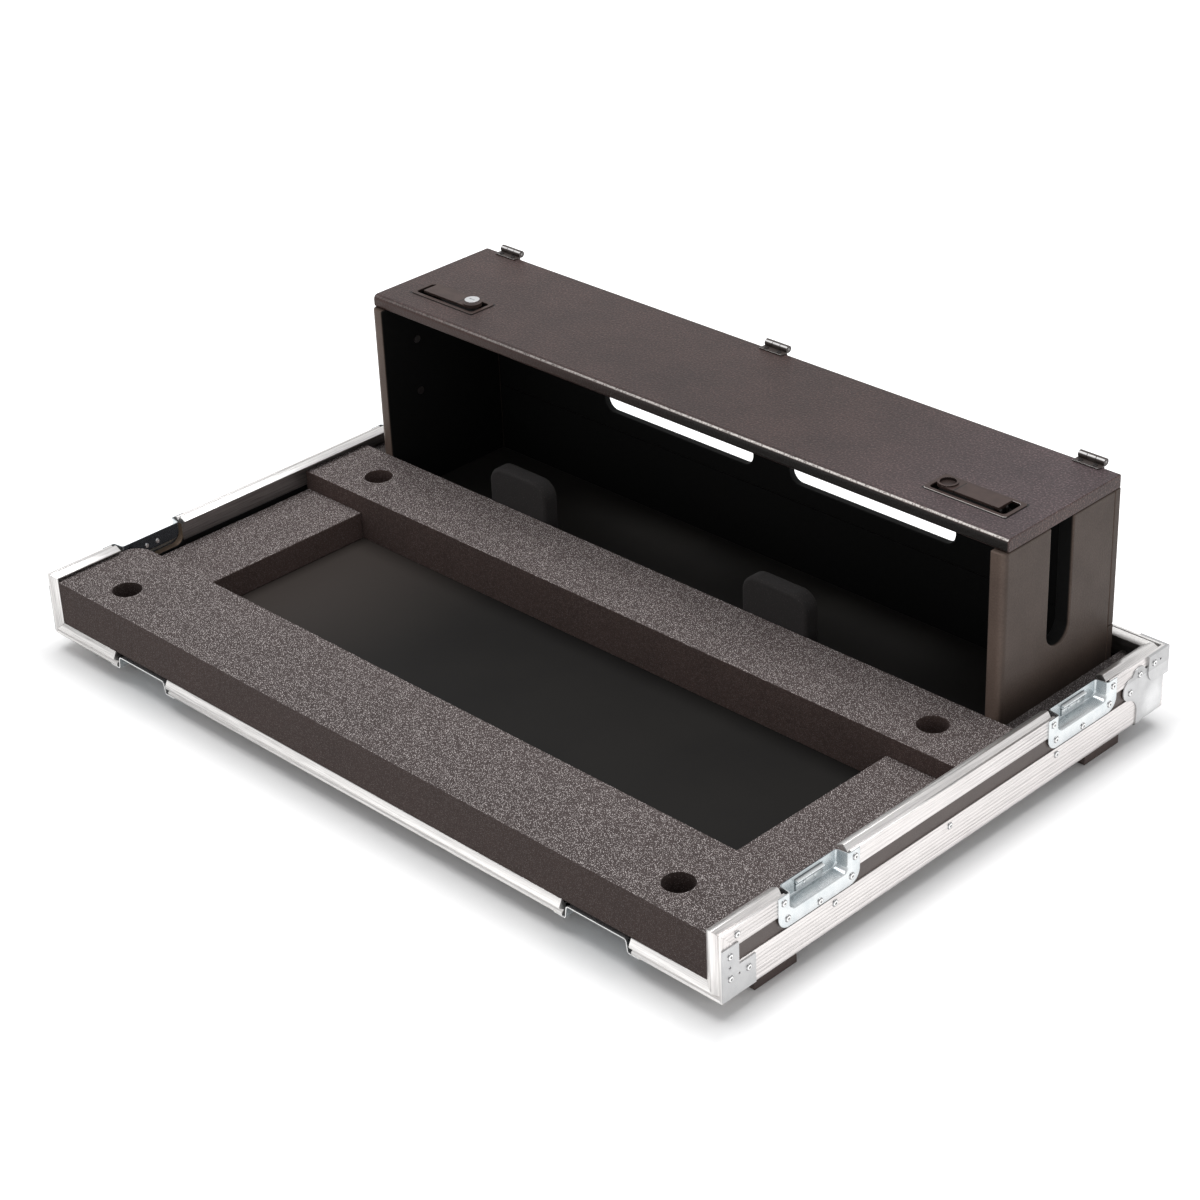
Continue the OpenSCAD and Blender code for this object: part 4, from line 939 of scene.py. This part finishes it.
foamEdges = {
    "front_foam": ("foamSkin", 1.0), "rear_foam": ("foamSkin", 1.0), "left_block_foam": ("foamSkin", 1.2),
    "right_block_foam": ("foamSkin", 1.2), "left_gap_foam": ("foamSkin", 1.0),
    "right_gap_foam": ("foamSkin", 1.0), "left_foam_pad": ("padFoam", 4.0),
    "right_foam_pad": ("padFoam", 4.0),
}
for node, (finish, width) in foamEdges.items():
    softened(node, finish, width, segments=4, smooth=60.0)
print("foam made")


# Floor, light and camera

studio = {
    # lengths in metres; sunFrom is where the light comes from; the sky turns from white to grey with height
    "reach": 9, "floor": 0.93, "caseHalf": (0.5, 0.335), "besideShare": 1.6, "shadowTo": 0.11,
    "glowNear": 0.0, "glowFar": 0.45, "worldStrength": 0.68,
    "sunStrength": 2.00, "sunAngle": 46.0, "sunFrom": (-0.11, 0.08, 0.99),
    "whiteTo": 0.05, "greyFrom": 0.70, "ceiling": (0.60, 0.60, 0.61),
}
floorMesh = bpy.data.meshes.new("studioFloor")
reach = studio["reach"]
floorMesh.from_pydata([(-reach, -reach, 0), (reach, -reach, 0), (reach, reach, 0), (-reach, reach, 0)], [],
                      [(0, 1, 2, 3)])
studioFloor = bpy.data.objects.new("studioFloor", floorMesh)
bpy.context.scene.collection.objects.link(studioFloor)


def paleFloor(where, facing):
    # the floor turns fully white away from the case, and keeps its shadow beside it
    cloud = where.noise(3.0, 2.0, 0.5)
    seen = where.add("ShaderNodeLightPath") + where.add("ShaderNodeLightPath", output=3)
    beside = (where.part(0).size() - studio["caseHalf"][0]) * studio["besideShare"]
    ahead = where.part(1).size() - studio["caseHalf"][1]
    away = beside.larger(ahead)
    glow = away.ramp(0.0, studio["shadowTo"]).between(studio["glowNear"], studio["glowFar"])
    tone = cloud.between((studio["floor"],) * 3, (studio["floor"] + 0.01,) * 3)
    return {"Base Color": tone, "Roughness": 0.9, "Specular IOR Level": 0.1, "Emission Strength": 1.0,
            "Emission Color": (seen.ramp(0.0, 1.0) * glow).between((0, 0, 0), (1, 1, 1))}


floorMesh.materials.append(material("paleFloor", paleFloor))

world = bpy.data.worlds.new("studio")
bpy.context.scene.world = world
world.use_nodes = True
world.node_tree.nodes.clear()
sky = Flow(world.node_tree)
ray = sky.add("ShaderNodeLightPath")
seen = ray + sky.add("ShaderNodeLightPath", output=3) + sky.add("ShaderNodeLightPath", output=6)
strength = seen.ramp(0.0, 1.0).between(studio["worldStrength"], 1.0)
height = sky.add("ShaderNodeTexCoord").part(2)       # white at the horizon, greyer towards the ceiling
shade = height.ramp(studio["whiteTo"], studio["greyFrom"]).between((1.0, 1.0, 1.0), studio["ceiling"])
background = sky.add("ShaderNodeBackground", {}, {"Color": shade, "Strength": strength})
sky.add("ShaderNodeOutputWorld", {}, {0: background})

sun = bpy.data.lights.new("softSun", "SUN")
sun.energy = studio["sunStrength"]
sun.angle = math.radians(studio["sunAngle"])
sunThing = bpy.data.objects.new("softSun", sun)
sunThing.rotation_euler = Vector(studio["sunFrom"]).to_track_quat("Z", "Y").to_euler()
bpy.context.scene.collection.objects.link(sunThing)

view = {
    "place": (1.86012, -1.78028, 1.55741), "turn": (60.50353, 2.14559, 44.71272), "lens": 84.166,
    "sensor": 36, "nearest": 0.05, "furthest": 60,
}
lens = bpy.data.cameras.new("photoView")
lens.sensor_fit = "HORIZONTAL"
lens.sensor_width = view["sensor"]
lens.lens = view["lens"]
lens.clip_start = view["nearest"]
lens.clip_end = view["furthest"]
camera = bpy.data.objects.new("photoView", lens)
camera.location = view["place"]
camera.rotation_euler = [math.radians(a) for a in view["turn"]]
bpy.context.scene.collection.objects.link(camera)
bpy.context.scene.camera = camera
bpy.context.scene.view_settings.view_transform = "Standard"
print("studio made")
